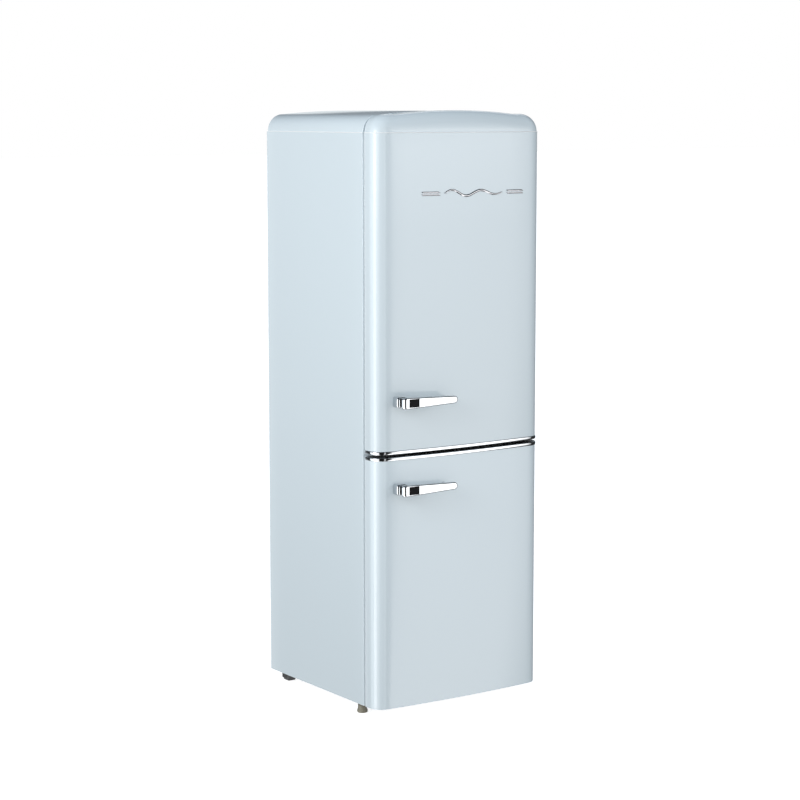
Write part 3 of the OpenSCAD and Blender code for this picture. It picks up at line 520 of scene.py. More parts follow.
def door_cap():
    """Moulded cap of the upper door: each ring closes in towards the crown."""
    steps = 26
    depth = DOOR_BACK - DOOR_APEX
    front = door_front()
    back = [(x, DOOR_BACK) for x, _ in reversed(front)]
    rings = []
    for i in range(steps + 1):
        a = HALF_PI * i / steps
        turn_in = 1 - math.cos(a)
        side = 1 - (STEP + (SHOULDER_R - STEP) * turn_in) / HALF_W
        deep = 1 - (STEP + (PILLOW - STEP) * turn_in) / depth
        rings.append([(x * side, DOOR_BACK + (y - DOOR_BACK) * deep,
                       COVER_Z + crown_height(x, HALF_W, SHOULDER_R, CROWN) * math.sin(a))
                      for x, y in front + back])
    verts, faces = loft(rings, capped=False)
    count = len(rings[0])
    faces.append(tuple(reversed(range(count))))
    top = (len(rings) - 1) * count
    for k in range(count // 2 - 1):
        a, b = top + k, top + count - 1 - k
        faces.append((a, a + 1, b - 1, b))
    piece = make_piece("upper_door_dome", verts, faces, sharp=50)
    arm_low, arm_high = span("hinge_top")
    cut(piece, (HINGE.x - 0.012, HINGE.y - 0.018, COVER_Z - 0.01),
        (HALF_W + 0.01, DOOR_BACK + 0.01, arm_high.z + 0.002))
    finish_piece(piece, "upper_door", MAT["powder_plastic"],
                 ["upper_door_cap"])


def seam_highlight_beads():
    """Thin pale bead between the steel sheets and the moulded tops above them; its pale colour is a
    painted highlight, standing in for light caught on the sheet's rounded top edge.
    """
    section = arc(0.0004, 0.0, 0.0010, 90, 270, 8) + [(0.0016, -0.0010), (0.0016, 0.0010)]

    def bead(path):
        side = normals_2d(path)
        return loft([[(x + nx * s, y + ny * s, COVER_Z + t) for s, t in section]
                     for (x, y), (nx, ny) in zip(path, side)])

    slot_y = HINGE.y - 0.020
    front = [(-HALF_W, DOOR_BACK)] + [p for p in door_front() if p[0] < 0 or p[1] < slot_y]
    # Pale bead along the upper door's cover line: painted highlight.
    piece = make_piece("upper_door_seam_highlight", *bead(front), sharp=50)
    finish_piece(piece, "upper_door", MAT["liner_plastic"])
    # Pale beads along the cabinet's cover lines: painted highlight.
    right = [(HALF_W, CAB_FRONT + 0.069), (HALF_W, CAB_BACK - 0.004)]
    left = [(-HALF_W, CAB_BACK - 0.004), (-HALF_W, CAB_FRONT + 0.001)]
    piece = make_piece("cabinet_seam_highlights", *merge([bead(right), bead(left)]), sharp=50)
    finish_piece(piece, "cabinet", MAT["liner_plastic"])


def trim_strip(name, node, body):
    """Chrome strip round the door, with a soft half-round face."""
    low, high = span(node)
    out = high.x - HALF_W
    half_h = (high.z - low.z) / 2
    middle = (low.z + high.z) / 2
    front = [(-HALF_W, high.y)] + door_front() + [(HALF_W, high.y)]
    side = normals_2d(front)
    rings = []
    ends = len(front) - 1
    for i, ((x, y), (nx, ny)) in enumerate(zip(front, side)):
        size = 0.55 if i in (0, ends) else 1.0
        ring = [(0.0, -half_h), (0.0, half_h)]
        for k in range(13):
            a = HALF_PI * (1 - 2 * k / 12)
            swell = abs(math.cos(a)) ** 0.55 * out * size
            ring.append((swell, half_h * math.sin(a) * (0.9 if size < 1 else 1.0)))
        rings.append([(x - nx * s, y - ny * s, middle + t) for s, t in ring])
    verts, faces = loft(rings)
    piece = make_piece(name, verts, faces, sharp=60)
    finish_piece(piece, body, MAT["bright_chrome"], [node])


def frame_ring(half, z0, z1, radius, y):
    """Points of one rounded frame line on a door's back."""
    return [(x, y, z) for x, z in rounded_rect(-half, half, z0, z1, radius, 8)]


def door_liner(name, node, body, ridge_half, ridge_w, gasket_node):
    """Vacuum-formed liner in one sheet: flat rim, gasket groove, ridge and centre panel."""
    low, high = span(node)
    foot = span(gasket_node)[0].y + 0.0002
    ridge_top = high.y
    ridge_z0 = {"upper_door": UPPER_Z + 0.033, "lower_door": low.z + 0.078}[body]
    ridge_z1 = {"upper_door": liner_high.z - 0.0115, "lower_door": LOWER_TOP - 0.038}[body]
    r = 0.006

    def line(inset, y, corner):
        return frame_ring(ridge_half - inset, ridge_z0 + inset, ridge_z1 - inset, corner, y)

    rings = [frame_ring(HALF_W - SHEET, low.z, high.z, 0.002, foot),
             line(-0.012, foot, 0.03), line(-0.003, foot, 0.024)]
    rings += [line(-0.003 * (1 - math.sin(a)), foot + 0.003 * (1 - math.cos(a)), 0.022)
              for a in (HALF_PI * i / 3 for i in (1, 2))]
    for i in range(7):
        a = HALF_PI * i / 6
        rings.append(line(0.002 + r * (1 - math.cos(a)), ridge_top - r * (1 - math.sin(a)),
                          0.022 - r * (1 - math.cos(a)) * 0.6))
    for i in range(7):
        a = HALF_PI * (1 - i / 6)
        rings.append(line(ridge_w - 0.002 - r * (1 - math.cos(a)),
                          ridge_top - r * (1 - math.sin(a)), 0.014))
    rings.append(line(ridge_w, foot + 0.004, 0.014))
    rings.append(line(ridge_w + 0.004, foot, 0.012))
    verts, faces = loft(rings, capped=False)
    base = (len(rings) - 1) * len(rings[0])
    faces.append(tuple(base + k for k in range(len(rings[0]))))
    piece = make_piece(name, verts, faces, sharp=50)
    solidify(piece, 0.0012, -1)
    finish_piece(piece, body, MAT["liner_plastic"], [node])


def door_gasket(name, node, body):
    """Magnetic gasket: a bellows strip round the door's back with mitred round corners."""
    low, high = span(node)
    deep = high.y - low.y
    width = 0.014
    profile = [(0.0, 0.0), (0.0, 0.2), (0.12, 0.3), (0.02, 0.42), (0.02, 0.85), (0.1, 1.0),
               (0.9, 1.0), (0.98, 0.85), (0.98, 0.42), (0.88, 0.3), (1.0, 0.2), (1.0, 0.0)]
    rings = []
    for across, out in profile:
        inset = width * across
        rings.append(frame_ring(high.x - inset, low.z + inset, high.z - inset,
                                0.012 - inset * 0.5, low.y + deep * out))
    rings.append(rings[0])
    verts, faces = loft(rings, capped=False)
    piece = make_piece(name, verts, faces, sharp=40)
    finish_piece(piece, body, MAT["gasket_rubber"], [node])


def door_core(name, node, body, z0, z1):
    """Foam filling of a door, inside its sheet, end caps and liner."""
    low, high = span(node)
    back = DOOR_BACK - 0.004
    rings = []
    for z, inset in ((z0, 0.0040), (z0 + 0.004, 0.0014), (z1 - 0.004, 0.0014), (z1, 0.0040)):
        front = door_front(inset)
        rings.append([(x, y, z) for x, y in
                      [(-HALF_W + inset, back - inset)] + front + [(HALF_W - inset, back - inset)]])
    piece = make_piece(name, *loft(rings), sharp=40)
    finish_piece(piece, body, MAT["pu_foam"], [node])


# ---------------------------------------------------------------- handles and badge

def handle(name, door):
    """Chrome lever on a stepped block, with a black window and a post behind its tip."""
    low, high = span(f"{name}_lever")
    base_low, base_high = span(f"{name}_base")
    z = (low.z + high.z) / 2
    half_h = (high.z - low.z) / 2
    tip_r = 0.010
    lever_back = low.y + 0.011
    body = f"{door}_door"

    head_back = base_low.y
    head_depth = head_back - low.y

    def left_edge(y):
        """The head's end is convex: it leans in towards the front."""
        ahead = max(head_back - y, 0.0) / head_depth
        return low.x + HEAD_LEAN * ahead ** 1.8

    def lever_ring(inset, y):
        corner = max(0.006 - inset, 0.0008)
        h = half_h - inset
        left = left_edge(y) + inset * 0.6
        tip = arc(high.x - tip_r, z, tip_r - inset, -86, 86, 16)
        upper = arc(left + corner, z + h - corner, corner, 90, 180, 6)
        lower = arc(left + corner, z - h + corner, corner, 180, 270, 6)
        return [(x, y, pz) for x, pz in tip + upper + lower]

    stack_x = base_low.x + 0.015

    def block(half_w, half_z, corner):
        def outline(inset):
            return rounded_rect(stack_x - half_w + inset, stack_x + half_w - inset,
                                z - half_z + inset, z + half_z - inset,
                                corner - inset * 0.8, 6)
        return outline

    edge_r, steps = 0.0035, 7
    rings = [lever_ring(edge_r * (1 - math.cos(a)), low.y + edge_r * (1 - math.sin(a)))
             for a in (HALF_PI * (1 - i / steps) for i in range(steps + 1))]
    rings += [lever_ring(0.0, lever_back - 0.0012), lever_ring(0.0005, lever_back)]
    head = []
    for i in range(9):
        y = lever_back - 0.002 + (head_back - lever_back + 0.002) * i / 8
        inset = 0.0008 * max(i - 6, 0) / 2
        head.append([(x, y, pz) for x, pz in rounded_rect(
            left_edge(y) + inset + 0.0002, stack_x + 0.0148 - inset, z - half_h + inset + 0.0002,
            z + half_h - inset - 0.0002, 0.006, 6)])
    piece = make_piece(f"{name}_lever_form", *merge([loft(rings), loft(head)]), sharp=45)
    finish_piece(piece, body, MAT["bright_chrome"], [f"{name}_lever"])

    seat = door_face(base_low.x)
    y = high.y
    groove, ring_t = 0.0045, 0.0040
    # A black core shows in the grooves between the chrome rings: painted shade, standing in for the
    # shadow down in the grooves.
    groove_shade = slab_y(block(0.0120, 0.0115, 0.005), y - 0.0003, y + 2 * groove + ring_t + 0.0003,
                    0.0003, 0.0003)
    piece = make_piece(f"{name}_sleeve", *groove_shade, sharp=45)
    finish_piece(piece, body, MAT["black_plastic"])
    parts = [slab_y(block(0.0143, 0.0138, 0.006), y + groove, y + groove + ring_t, 0.0019,
                    0.0019)]
    y += 2 * groove + ring_t
    parts.append(slab_y(block(0.0150, 0.0145, 0.006), y, seat, 0.0035, 0.0008, steps=8))
    post_x = base_high.x - 0.005
    post = [(0.0, lever_back - 0.001), (0.005, lever_back - 0.001), (0.005, y + 0.008),
            (0.0056, y + 0.012), (0.0062, y + 0.015), (0.0062, door_face(post_x) + 0.0004),
            (0.0, door_face(post_x) + 0.0004)]
    parts.append(lathe(post, (post_x - 0.0013, 0, z), 32, axis="y"))
    piece = make_piece(f"{name}_foot_stack", *merge(parts), sharp=45)
    finish_piece(piece, body, MAT["bright_chrome"], [f"{name}_base"])

    inlay_low, inlay_high = span(f"{name}_inlay")

    def window(inset):
        return rounded_rect(inlay_low.x + inset, inlay_high.x - inset, inlay_low.z + inset,
                            inlay_high.z - inset, 0.0015, 4)

    piece = make_piece(f"{name}_window", *slab_y(window, inlay_low.y, inlay_high.y + 0.002,
                                                 0.0004), sharp=45)
    finish_piece(piece, body, MAT["black_plastic"], [f"{name}_inlay"])


def cut_window(name):
    """Recess in a lever's face around its black window."""
    low, high = span(f"{name}_inlay")
    edge = 0.0004
    cut(bpy.data.objects[f"{name}_lever_form"],
        (low.x - edge, low.y - 0.01, low.z - edge), (high.x + edge, high.y, high.z + edge))


def on_door(points):
    """(x, z, height off the door) as points on the bowed door face."""
    return [(x, door_face(x) - off, z) for x, z, off in points]


def badge():
    """Metal ornament: a double bar at each end and a tapering waved ribbon between."""
    low, high = span("badge")
    z = (low.z + high.z) / 2
    thick = 0.0024
    bar_w, bar_h, slant, spread = 0.060, 0.0042, 0.005, 0.0032
    parts = []
    for centre in (low.x + bar_w / 2, high.x - bar_w / 2):
        for dz in (-spread, spread):
            left, right = centre - bar_w / 2, centre + bar_w / 2
            up, down = z + dz + bar_h / 2, z + dz - bar_h / 2
            lean = slant * 0.3
            outer = [(left, up), (right - slant, up), (right, down), (left + slant, down)]
            crest = [(left + lean + slant * 0.3, z + dz + bar_h * 0.12),
                     (right - lean - slant * 0.3, z + dz + bar_h * 0.12),
                     (right - lean, z + dz - bar_h * 0.12),
                     (left + lean + slant * 0.4, z + dz - bar_h * 0.12)]
            parts.append(loft([on_door([(x, pz, off) for x, pz in outline])
                               for outline, off in ((outer, 0.0), (outer, thick * 0.35),
                                                    (crest, thick))]))
    steps, half = 120, (high.x - low.x - 2 * bar_w) / 2 - 0.014
    middle = (low.x + high.x) / 2
    rings = []
    for i in range(steps + 1):
        t = i / steps
        swing = ((high.z - low.z) / 2 - 0.0036) * (1 - 0.5 * t)
        wave = swing * math.sin(4 * math.pi * t)
        slope = swing * 4 * math.pi * math.cos(4 * math.pi * t) / (2 * half)
        bend = math.hypot(1, slope)
        nx, nz = -slope / bend, 1 / bend
        width = 0.0033 * (0.3 + 0.7 * math.sin(math.pi * t) ** 0.5)
        section = [(width, 0.0), (width * 0.95, thick * 0.35), (width * 0.25, thick),
                   (-width * 0.25, thick), (-width * 0.95, thick * 0.35), (-width, 0.0)]
        rings.append(on_door([(middle + half * (2 * t - 1) + nx * s, z + wave + nz * s, off)
                              for s, off in section]))
    parts.append(loft(rings))
    piece = make_piece("badge_ornament", *merge(parts), sharp=30)
    finish_piece(piece, "upper_door", MAT["badge_metal"], ["badge"])


# ---------------------------------------------------------------- feet

def feet():
    """Round levelling feet in front and ribbed block feet behind."""
    for side in ("left", "right"):
        node = f"front_foot_{side}"
        low, high = span(node)
        x, y = (low.x + high.x) / 2, (low.y + high.y) / 2
        r = (high.x - low.x) / 2
        profile = [(0, 0), (r - 0.0025, 0), (r - 0.0007, 0.0007), (r, 0.0022), (r, 0.0075),
                   (r - 0.0006, 0.009), (r - 0.0022, 0.0098), (r - 0.0022, 0.0225),
                   (r - 0.0030, 0.0237), (0.0095, 0.0245), (0.009, 0.0252), (0.009, 0.031),
                   (0.0042, 0.0314)]
        turns = 14
        for i in range(turns * 2):
            h = 0.0316 + (high.z - 0.033) * i / (turns * 2)
            profile.append((0.004 - (0.0006 if i % 2 else 0.0), h))
        profile += [(0.0034, high.z - 0.0008), (0, high.z - 0.0004)]
        piece = make_piece(f"levelling_foot_{side}", *lathe(profile, (x, y, 0)), sharp=50)
        finish_piece(piece, f"foot_{side}", MAT["foot_plastic"], [node])

    low, high = span("rear_feet")
    width, rib = 0.031, 0.0012
    parts = []
    for sign in (-1, 1):
        x0, x1 = sorted((sign * high.x, sign * (high.x - width)))
        for z0, z1, inset in ((0.0, 0.006, 0.003), (0.0055, high.z, 0.0)):
            rings = []
            for z, edge in ((z0, rib), (z0 + rib, 0.0), (z1 - rib, 0.0), (z1, rib)):
                d = inset + edge
                rings.append([(x, y, z) for x, y in
                              rounded_rect(x0 + d, x1 - d, low.y + d, high.y - d, 0.003, 4)])
            parts.append(loft(rings))
        for i in range(5):
            y = low.y + 0.005 + i * (high.y - low.y - 0.010) / 4
            for x in (x0, x1):
                inner = x + (0.0004 if x == x0 else -0.0004)
                a, b = sorted((x, inner))
                parts.append(loft([[(p, q, z) for p, q in
                                    rounded_rect(a, b, y - rib, y + rib, 0.0002, 2)]
                                   for z in (0.008, high.z - 0.002)]))
    piece = make_piece("rear_block_feet", *merge(parts), sharp=40)
    finish_piece(piece, "cabinet", MAT["rear_foot_plastic"], ["rear_feet"])


# ---------------------------------------------------------------- interior

def fresh_liner():
    """Vacuum-formed cavity with round corners and moulded shelf ribs."""
    low, high = liner_low, liner_high
    wall = 0.0015
    half, z0, z1, y1 = high.x - wall, low.z + wall, high.z - wall, high.y - wall
    back_r = 0.024
    rings = [frame_ring(half + wall, z0 - wall, z1 + wall, 0.002, low.y)]
    for i in range(5):
        a = HALF_PI * i / 4
        rings.append(frame_ring(half + wall * (1 - math.sin(a)) * 0.6,
                                z0 - wall * (1 - math.sin(a)) * 0.6,
                                z1 + wall * (1 - math.sin(a)) * 0.6, 0.008,
                                low.y + 0.0005 + 0.003 * (1 - math.cos(a))))
    rings.append(frame_ring(half, z0, z1, 0.016, low.y + 0.03))
    for i in range(8):
        a = HALF_PI * i / 7
        inset = back_r * (1 - math.cos(a))
        rings.append(frame_ring(half - inset, z0 + inset, z1 - inset,
                                max(0.016 - inset * 0.4, 0.004),
                                y1 - back_r * (1 - math.sin(a))))
    verts, faces = loft(rings, capped=False)
    base = (len(rings) - 1) * len(rings[0])
    faces.append(tuple(base + k for k in range(len(rings[0]))))
    cavity = make_piece("fresh_food_cavity", verts, faces, sharp=50)
    solidify(cavity, 0.0011, 1)
    finish_piece(cavity, "cabinet", MAT["liner_plastic"],
                 ["fresh_food_liner"])

    glass_low, glass_high = span("glass_shelves")
    shelves = 4
    thick = 0.004
    pitch = (glass_high.z - glass_low.z - thick) / (shelves - 1)
    parts = []
    for k in range(shelves):
        z = glass_low.z + k * pitch
        for sign in (-1, 1):
            x0, x1 = sorted((sign * (half - 0.008), sign * (half + 0.0005)))
            parts.append(slab_y(lambda inset: rounded_rect(
                x0 + inset, x1 - inset, z - 0.008 + inset, z - 0.0001 - inset, 0.0025, 4),
                glass_low.y, glass_high.y - 0.02, 0.002, 0.002))
    ribs = make_piece("shelf_ribs", *merge(parts), sharp=40)
    finish_piece(ribs, "cabinet", MAT["liner_plastic"])

    parts = []
    for k in range(shelves):
        z = glass_low.z + k * pitch
        parts.append(slab_y(lambda inset: rounded_rect(
            -glass_high.x + inset, glass_high.x - inset, z + inset, z + thick - inset,
            0.0012, 3), glass_low.y, glass_high.y, 0.0006, 0.0006))
    glass = make_piece("shelf_panes", *merge(parts), sharp=40)
    finish_piece(glass, "cabinet", MAT["shelf_glass"], ["glass_shelves"])


def tub(name, node, body, draft=0.004, radius=0.012, front=False):
    """Moulded tub with round corners, a rolled lip and, on a drawer, a tall front."""
    low, high = span(node)
    wall, lip = 0.0025, 0.0035
    top = high.z - (0.006 if front else 0.0)
    y0 = low.y + (0.004 if front else 0.0)

    def ring(inset, z, corner):
        return [(x, y, z) for x, y in rounded_rect(low.x + inset, high.x - inset, y0 + inset,
                                                   high.y - inset, corner, 6)]

    rings = [ring(lip + draft + 0.005, low.z, radius - 0.004),
             ring(lip + draft + 0.001, low.z + 0.0015, radius),
             ring(lip + draft, low.z + 0.005, radius),
             ring(lip, top - 0.008, radius + 0.002),
             ring(lip - 0.0005, top - 0.006, radius + 0.002),
             ring(0.0008, top - 0.005, radius + 0.004),
             ring(0.0, top - 0.004, radius + 0.004),
             ring(0.0, top - 0.001, radius + 0.004),
             ring(0.0008, top, radius + 0.004),
             ring(lip + 0.001, top, radius + 0.002),
             ring(lip + wall - 0.001, top - 0.001, radius),
             ring(lip + wall, top - 0.004, radius),
             ring(lip + draft + wall, low.z + 0.010, radius - 0.002),
             ring(lip + draft + wall + 0.0015, low.z + 0.0045, radius - 0.003),
             ring(lip + draft + wall + 0.006, low.z + wall, radius - 0.006)]
    parts = [loft(rings)]
    if front:
        def outline(inset):
            return rounded_rect(low.x + inset, high.x - inset, low.z + 0.001 + inset,
                                high.z - inset, 0.010 - inset * 0.5, 6)

        def grip(inset):
            return rounded_rect(-0.065 + inset, 0.065 - inset, high.z - 0.030 + inset,
                                high.z - 0.008 - inset, 0.009 - inset * 0.5, 6)

        parts.append(slab_y(outline, low.y + 0.0015, low.y + 0.0055, 0.0015, 0.0008))
        parts.append(slab_y(grip, low.y, low.y + 0.0016, 0.0012, 0.0))
    piece = make_piece(name, *merge(parts), sharp=45)
    finish_piece(piece, body, MAT["clear_plastic"], [node])


def evaporator_tubes():
    """Serpentine refrigerant tube brazed under each freezer plate."""
    low, high = span("evaporator_plates")
    for k, z in enumerate((0.506, 0.318)):
        rows, tube_r = 7, 0.003
        half, y0, y1 = 0.19, -0.10, 0.19
        pitch = (y1 - y0) / (rows - 1)
        path = []
        for i in range(rows):
            sign = 1 if i % 2 == 0 else -1
            y = y0 + i * pitch
            path += [(-sign * half, y, z - tube_r), (sign * half, y, z - tube_r)]
            if i < rows - 1:
                for s in range(1, 8):
                    a = math.pi * s / 8 - HALF_PI
                    path.append((sign * (half + pitch / 2 * math.cos(a)),
                                 y + pitch / 2 + pitch / 2 * math.sin(a), z - tube_r))
        section = arc(0, 0, tube_r, 0, 330, 11)
        piece = make_piece(f"evaporator_tube_{k + 1}", *sweep(path, section), sharp=60)
        finish_piece(piece, "cabinet", MAT["evaporator_aluminium"])


def knob():
    """Thermostat knob with a fluted rim and a raised grip."""
    low, high = span("thermostat_knob")
    x, y = (low.x + high.x) / 2, (low.y + high.y) / 2
    r = (high.x - low.x) / 2
    disc_top = high.z - 0.013
    flutes, segments = 30, 180
    rings = []
    for radius, z in ((0.0, disc_top - 0.0042), (r - 0.003, disc_top - 0.0042),
                      (r - 0.001, disc_top - 0.0035), (r - 0.0003, disc_top - 0.0022),
                      (r - 0.0003, disc_top - 0.0006), (r - 0.001, disc_top),
                      (0.003, disc_top), (0.003, high.z), (0.0, high.z)):
        ring = []
        for k in range(segments):
            a = 2 * math.pi * k / segments
            flute = 0.0003 * math.cos(flutes * a) if radius > r - 0.002 else 0.0
            q = max(radius + flute - 0.0003, 1e-5)
            ring.append((x + q * math.cos(a), y + q * math.sin(a), z))
        rings.append(ring)

    rings_grip = []
    for z, inset in ((low.z, 0.0014), (low.z + 0.0005, 0.0005), (low.z + 0.0015, 0.0),
                     (disc_top - 0.004, -0.0006)):
        rings_grip.append([(px, py, z) for px, py in rounded_rect(
            x - 0.003 + inset, x + 0.003 - inset, low.y + 0.003 + inset,
            high.y - 0.003 - inset, 0.0026, 5)])
    piece = make_piece("thermostat_dial", *merge([loft(rings), loft(rings_grip)]), sharp=40)
    finish_piece(piece, "knob", MAT["liner_plastic"], ["thermostat_knob"])


# ---------------------------------------------------------------- rear

def condenser():
    """Smooth serpentine tube behind the back panel."""
    low, high = span("condenser_coil")
    tube_r = (high.y - low.y) / 2
    runs = 20
    y = (low.y + high.y) / 2
    pitch = (high.z - low.z - 2 * tube_r) / (runs - 1)
    half = high.x - tube_r - pitch / 2
    path = []
    for i in range(runs):
        sign = 1 if i % 2 == 0 else -1
        z = low.z + tube_r + i * pitch
        path += [(-sign * half, y, z), (sign * half, y, z)]
        if i < runs - 1:
            for s in range(1, 10):
                a = math.pi * s / 10 - HALF_PI
                path.append((sign * (half + pitch / 2 * math.cos(a)), y,
                             z + pitch / 2 + pitch / 2 * math.sin(a)))
    section = arc(0, 0, tube_r, 0, 330, 11)
    piece = make_piece("condenser_tube", *sweep(path, section, up=(0, 1, 0)), sharp=60)
    finish_piece(piece, "cabinet", MAT["black_enamel"], ["condenser_coil"])


def compressor():
    """Hermetic compressor: two welded shells with a flange, on a pressed foot plate."""
    low, high = span("compressor")
    x, y = (low.x + high.x) / 2, (low.y + high.y) / 2
    r = (high.x - low.x) / 2
    z0, z1 = low.z + 0.003, high.z
    shell = r - 0.004
    middle = z0 + (z1 - z0) * 0.55
    profile = [(0, z0)]
    profile += [(shell - 0.022 + 0.022 * math.sin(a), z0 + 0.022 - 0.022 * math.cos(a))
                for a in (HALF_PI * i / 6 for i in range(7))]
    profile += [(shell, middle - 0.008), (shell + 0.002, middle - 0.006), (r, middle - 0.005),
                (r, middle + 0.003), (shell + 0.001, middle + 0.004),
                (shell - 0.001, middle + 0.006)]
    dome = z1 - middle - 0.010
    profile += [((shell - 0.001) * math.cos(a) ** 0.8, middle + 0.010 + dome * math.sin(a))
                for a in (HALF_PI * i / 12 for i in range(12))]
    profile.append((0, z1))
    parts = [lathe(profile, (x, y, 0), 96)]
    half = r - 0.005
    rings = []
    for z, inset in ((low.z, 0.001), (low.z + 0.0008, 0.0), (low.z + 0.0022, 0.0),
                     (low.z + 0.003, 0.001)):
        rings.append([(px, py, z) for px, py in rounded_rect(
            x - half + inset, x + half - inset, low.y + 0.005 + inset, high.y - 0.005 - inset,
            0.018, 8)])
    parts.append(loft(rings))
    piece = make_piece("compressor_shell", *merge(parts), sharp=40)
    finish_piece(piece, "cabinet", MAT["black_enamel"], ["compressor"])


# ---------------------------------------------------------------- build the object

side_panels()
top_cover()
door_skin("lower_door_sheet", "lower_door_skin", "lower_door", BODY_Z, LOWER_TOP, 0.0009, 0.0006)
door_skin("upper_door_sheet", "upper_door_skin", "upper_door", UPPER_Z, COVER_Z, 0.0006, 0.0008)
door_cap()
seam_highlight_beads()
for door in ("upper", "lower"):
    trim_strip(f"{door}_door_strip", f"{door}_door_trim", f"{door}_door")
    door_gasket(f"{door}_door_seal", f"{door}_door_gasket", f"{door}_door")
    handle(f"{door}_handle", door)
    cut_window(f"{door}_handle")
door_core("upper_door_core", "upper_door_foam", "upper_door", UPPER_Z + 0.0035, COVER_Z - 0.002)
door_core("lower_door_core", "lower_door_foam", "lower_door", BODY_Z + 0.0035,
          LOWER_TOP - 0.0035)
door_liner("upper_door_panel", "upper_door_liner", "upper_door", 0.215, 0.022,
           "upper_door_gasket")
door_liner("lower_door_panel", "lower_door_liner", "lower_door", 0.200, 0.022,
           "lower_door_gasket")
badge()
feet()
fresh_liner()
for bin_name in ("top_bin", "middle_bin", "bottle_bin"):
    tub(f"{bin_name}_tub", bin_name, "upper_door")
tub("crisper_tub", "crisper_drawer", "crisper", front=True)
for level in ("top", "middle", "bottom"):
    tub(f"freezer_tub_{level}", f"{level}_freezer_drawer", f"freezer_drawer_{level}",
        front=True)
evaporator_tubes()
knob()
condenser()
compressor()

dress("foam_insulation", MAT["pu_foam"], bevel=0.0, shrink=0.004)
for node_name, slot_name, bevel_width in (
        ("back_panel", "zinc_steel", 0.0003), ("base_plate", "zinc_steel", 0.0006),
        ("front_rails", "powder_paint", 0.0003), ("freezer_liner", "liner_plastic", 0.0006),
        ("hinge_top", "zinc_steel", 0.0006),
        ("hinge_middle", "zinc_steel", 0.0006), ("hinge_bottom", "zinc_steel", 0.0006),
        ("hinge_screws", "zinc_steel", 0.0004), ("shelf_trims", "liner_plastic", 0.0015),
        ("control_housing", "liner_plastic", 0.0010), ("lamp_lens", "lens_plastic", 0.0012),
        ("evaporator_plates", "evaporator_aluminium", 0.0005),
        ("compressor_mounts", "black_rubber", 0.0015), ("relay_box", "black_plastic", 0.0012),
        ("drip_tray", "black_plastic", 0.0006), ("condenser_wires", "black_enamel", 0.0002),
        ("refrigerant_pipes", "copper_pipe", 0.0), ("light_switch", "liner_plastic", 0.0008),
        # The end caps facing the gap between the doors, upper_door_base and lower_door_top, are
        # black: the dark of that narrow gap is partly painted shade.
        ("upper_door_base", "black_plastic", 0.0005),
        ("upper_door_bushes", "bush_plastic", 0.0004), ("lower_door_top", "black_plastic", 0.0005),
        ("lower_door_base", "liner_plastic", 0.0005), ("lower_door_bushes", "bush_plastic", 0.0004)):
    dress(node_name, MAT[slot_name], bevel=bevel_width)


# ---------------------------------------------------------------- floor, light and camera

def stage_plane(name, size, z, material):
    """Large level plane outside the object, left out of reflections."""
    verts = [(-size, -size, z), (size, -size, z), (size, size, z), (-size, size, z)]
    plane = make_piece(name, verts, [(0, 1, 2, 3)])
    plane.data.materials.append(material)
    plane.visible_glossy = False
    plane.visible_diffuse = False
    return plane


def area_light(name, place, target, width, height, power, colour=(1, 1, 1)):
    """Soft rectangular light aimed at a target, left out of reflections."""
    data = bpy.data.lights.new(name, "AREA")
    data.shape = "RECTANGLE"
    data.size, data.size_y = width, height
    data.energy = power
    data.color = colour
    light = bpy.data.objects.new(name, data)
    light.location = place
    light.rotation_mode = "QUATERNION"
    light.rotation_quaternion = (Vector(target) - Vector(place)).to_track_quat("-Z", "Y")
    light.visible_glossy = False
    bpy.context.scene.collection.objects.link(light)
    return light


# What reflections see round the horizon: degrees from the front towards the left, and
# brightness. Bright screens stand at the front right and at the left, dark ones between.
SCREENS = ((-180, 0.80), (-128, 0.85), (-116, 0.05), (-60, 0.05), (-50, 0.10), (-44, 3.4),
           (-27, 3.4), (-25, 0.03), (-8, 0.03), (-5, 1.0), (5, 1.0), (8, 0.03), (44, 0.03), (49, 2.0), (67, 2.3), (70, 6.2), (90, 6.2),
           (96, 2.0), (122, 1.6), (126, 0.05), (148, 0.05), (160, 0.75), (180, 0.80))


def fill_ramp(ramp, stops, mix="LINEAR"):
    """Sets a colour ramp's stops from (position, colour) pairs."""
    ramp.color_ramp.interpolation = mix
    elements = ramp.color_ramp.elements
    while len(elements) < len(stops):
        elements.new(0.5)
    for element, (position, colour) in zip(elements, stops):
        element.position = position
        element.color = (*colour, 1)


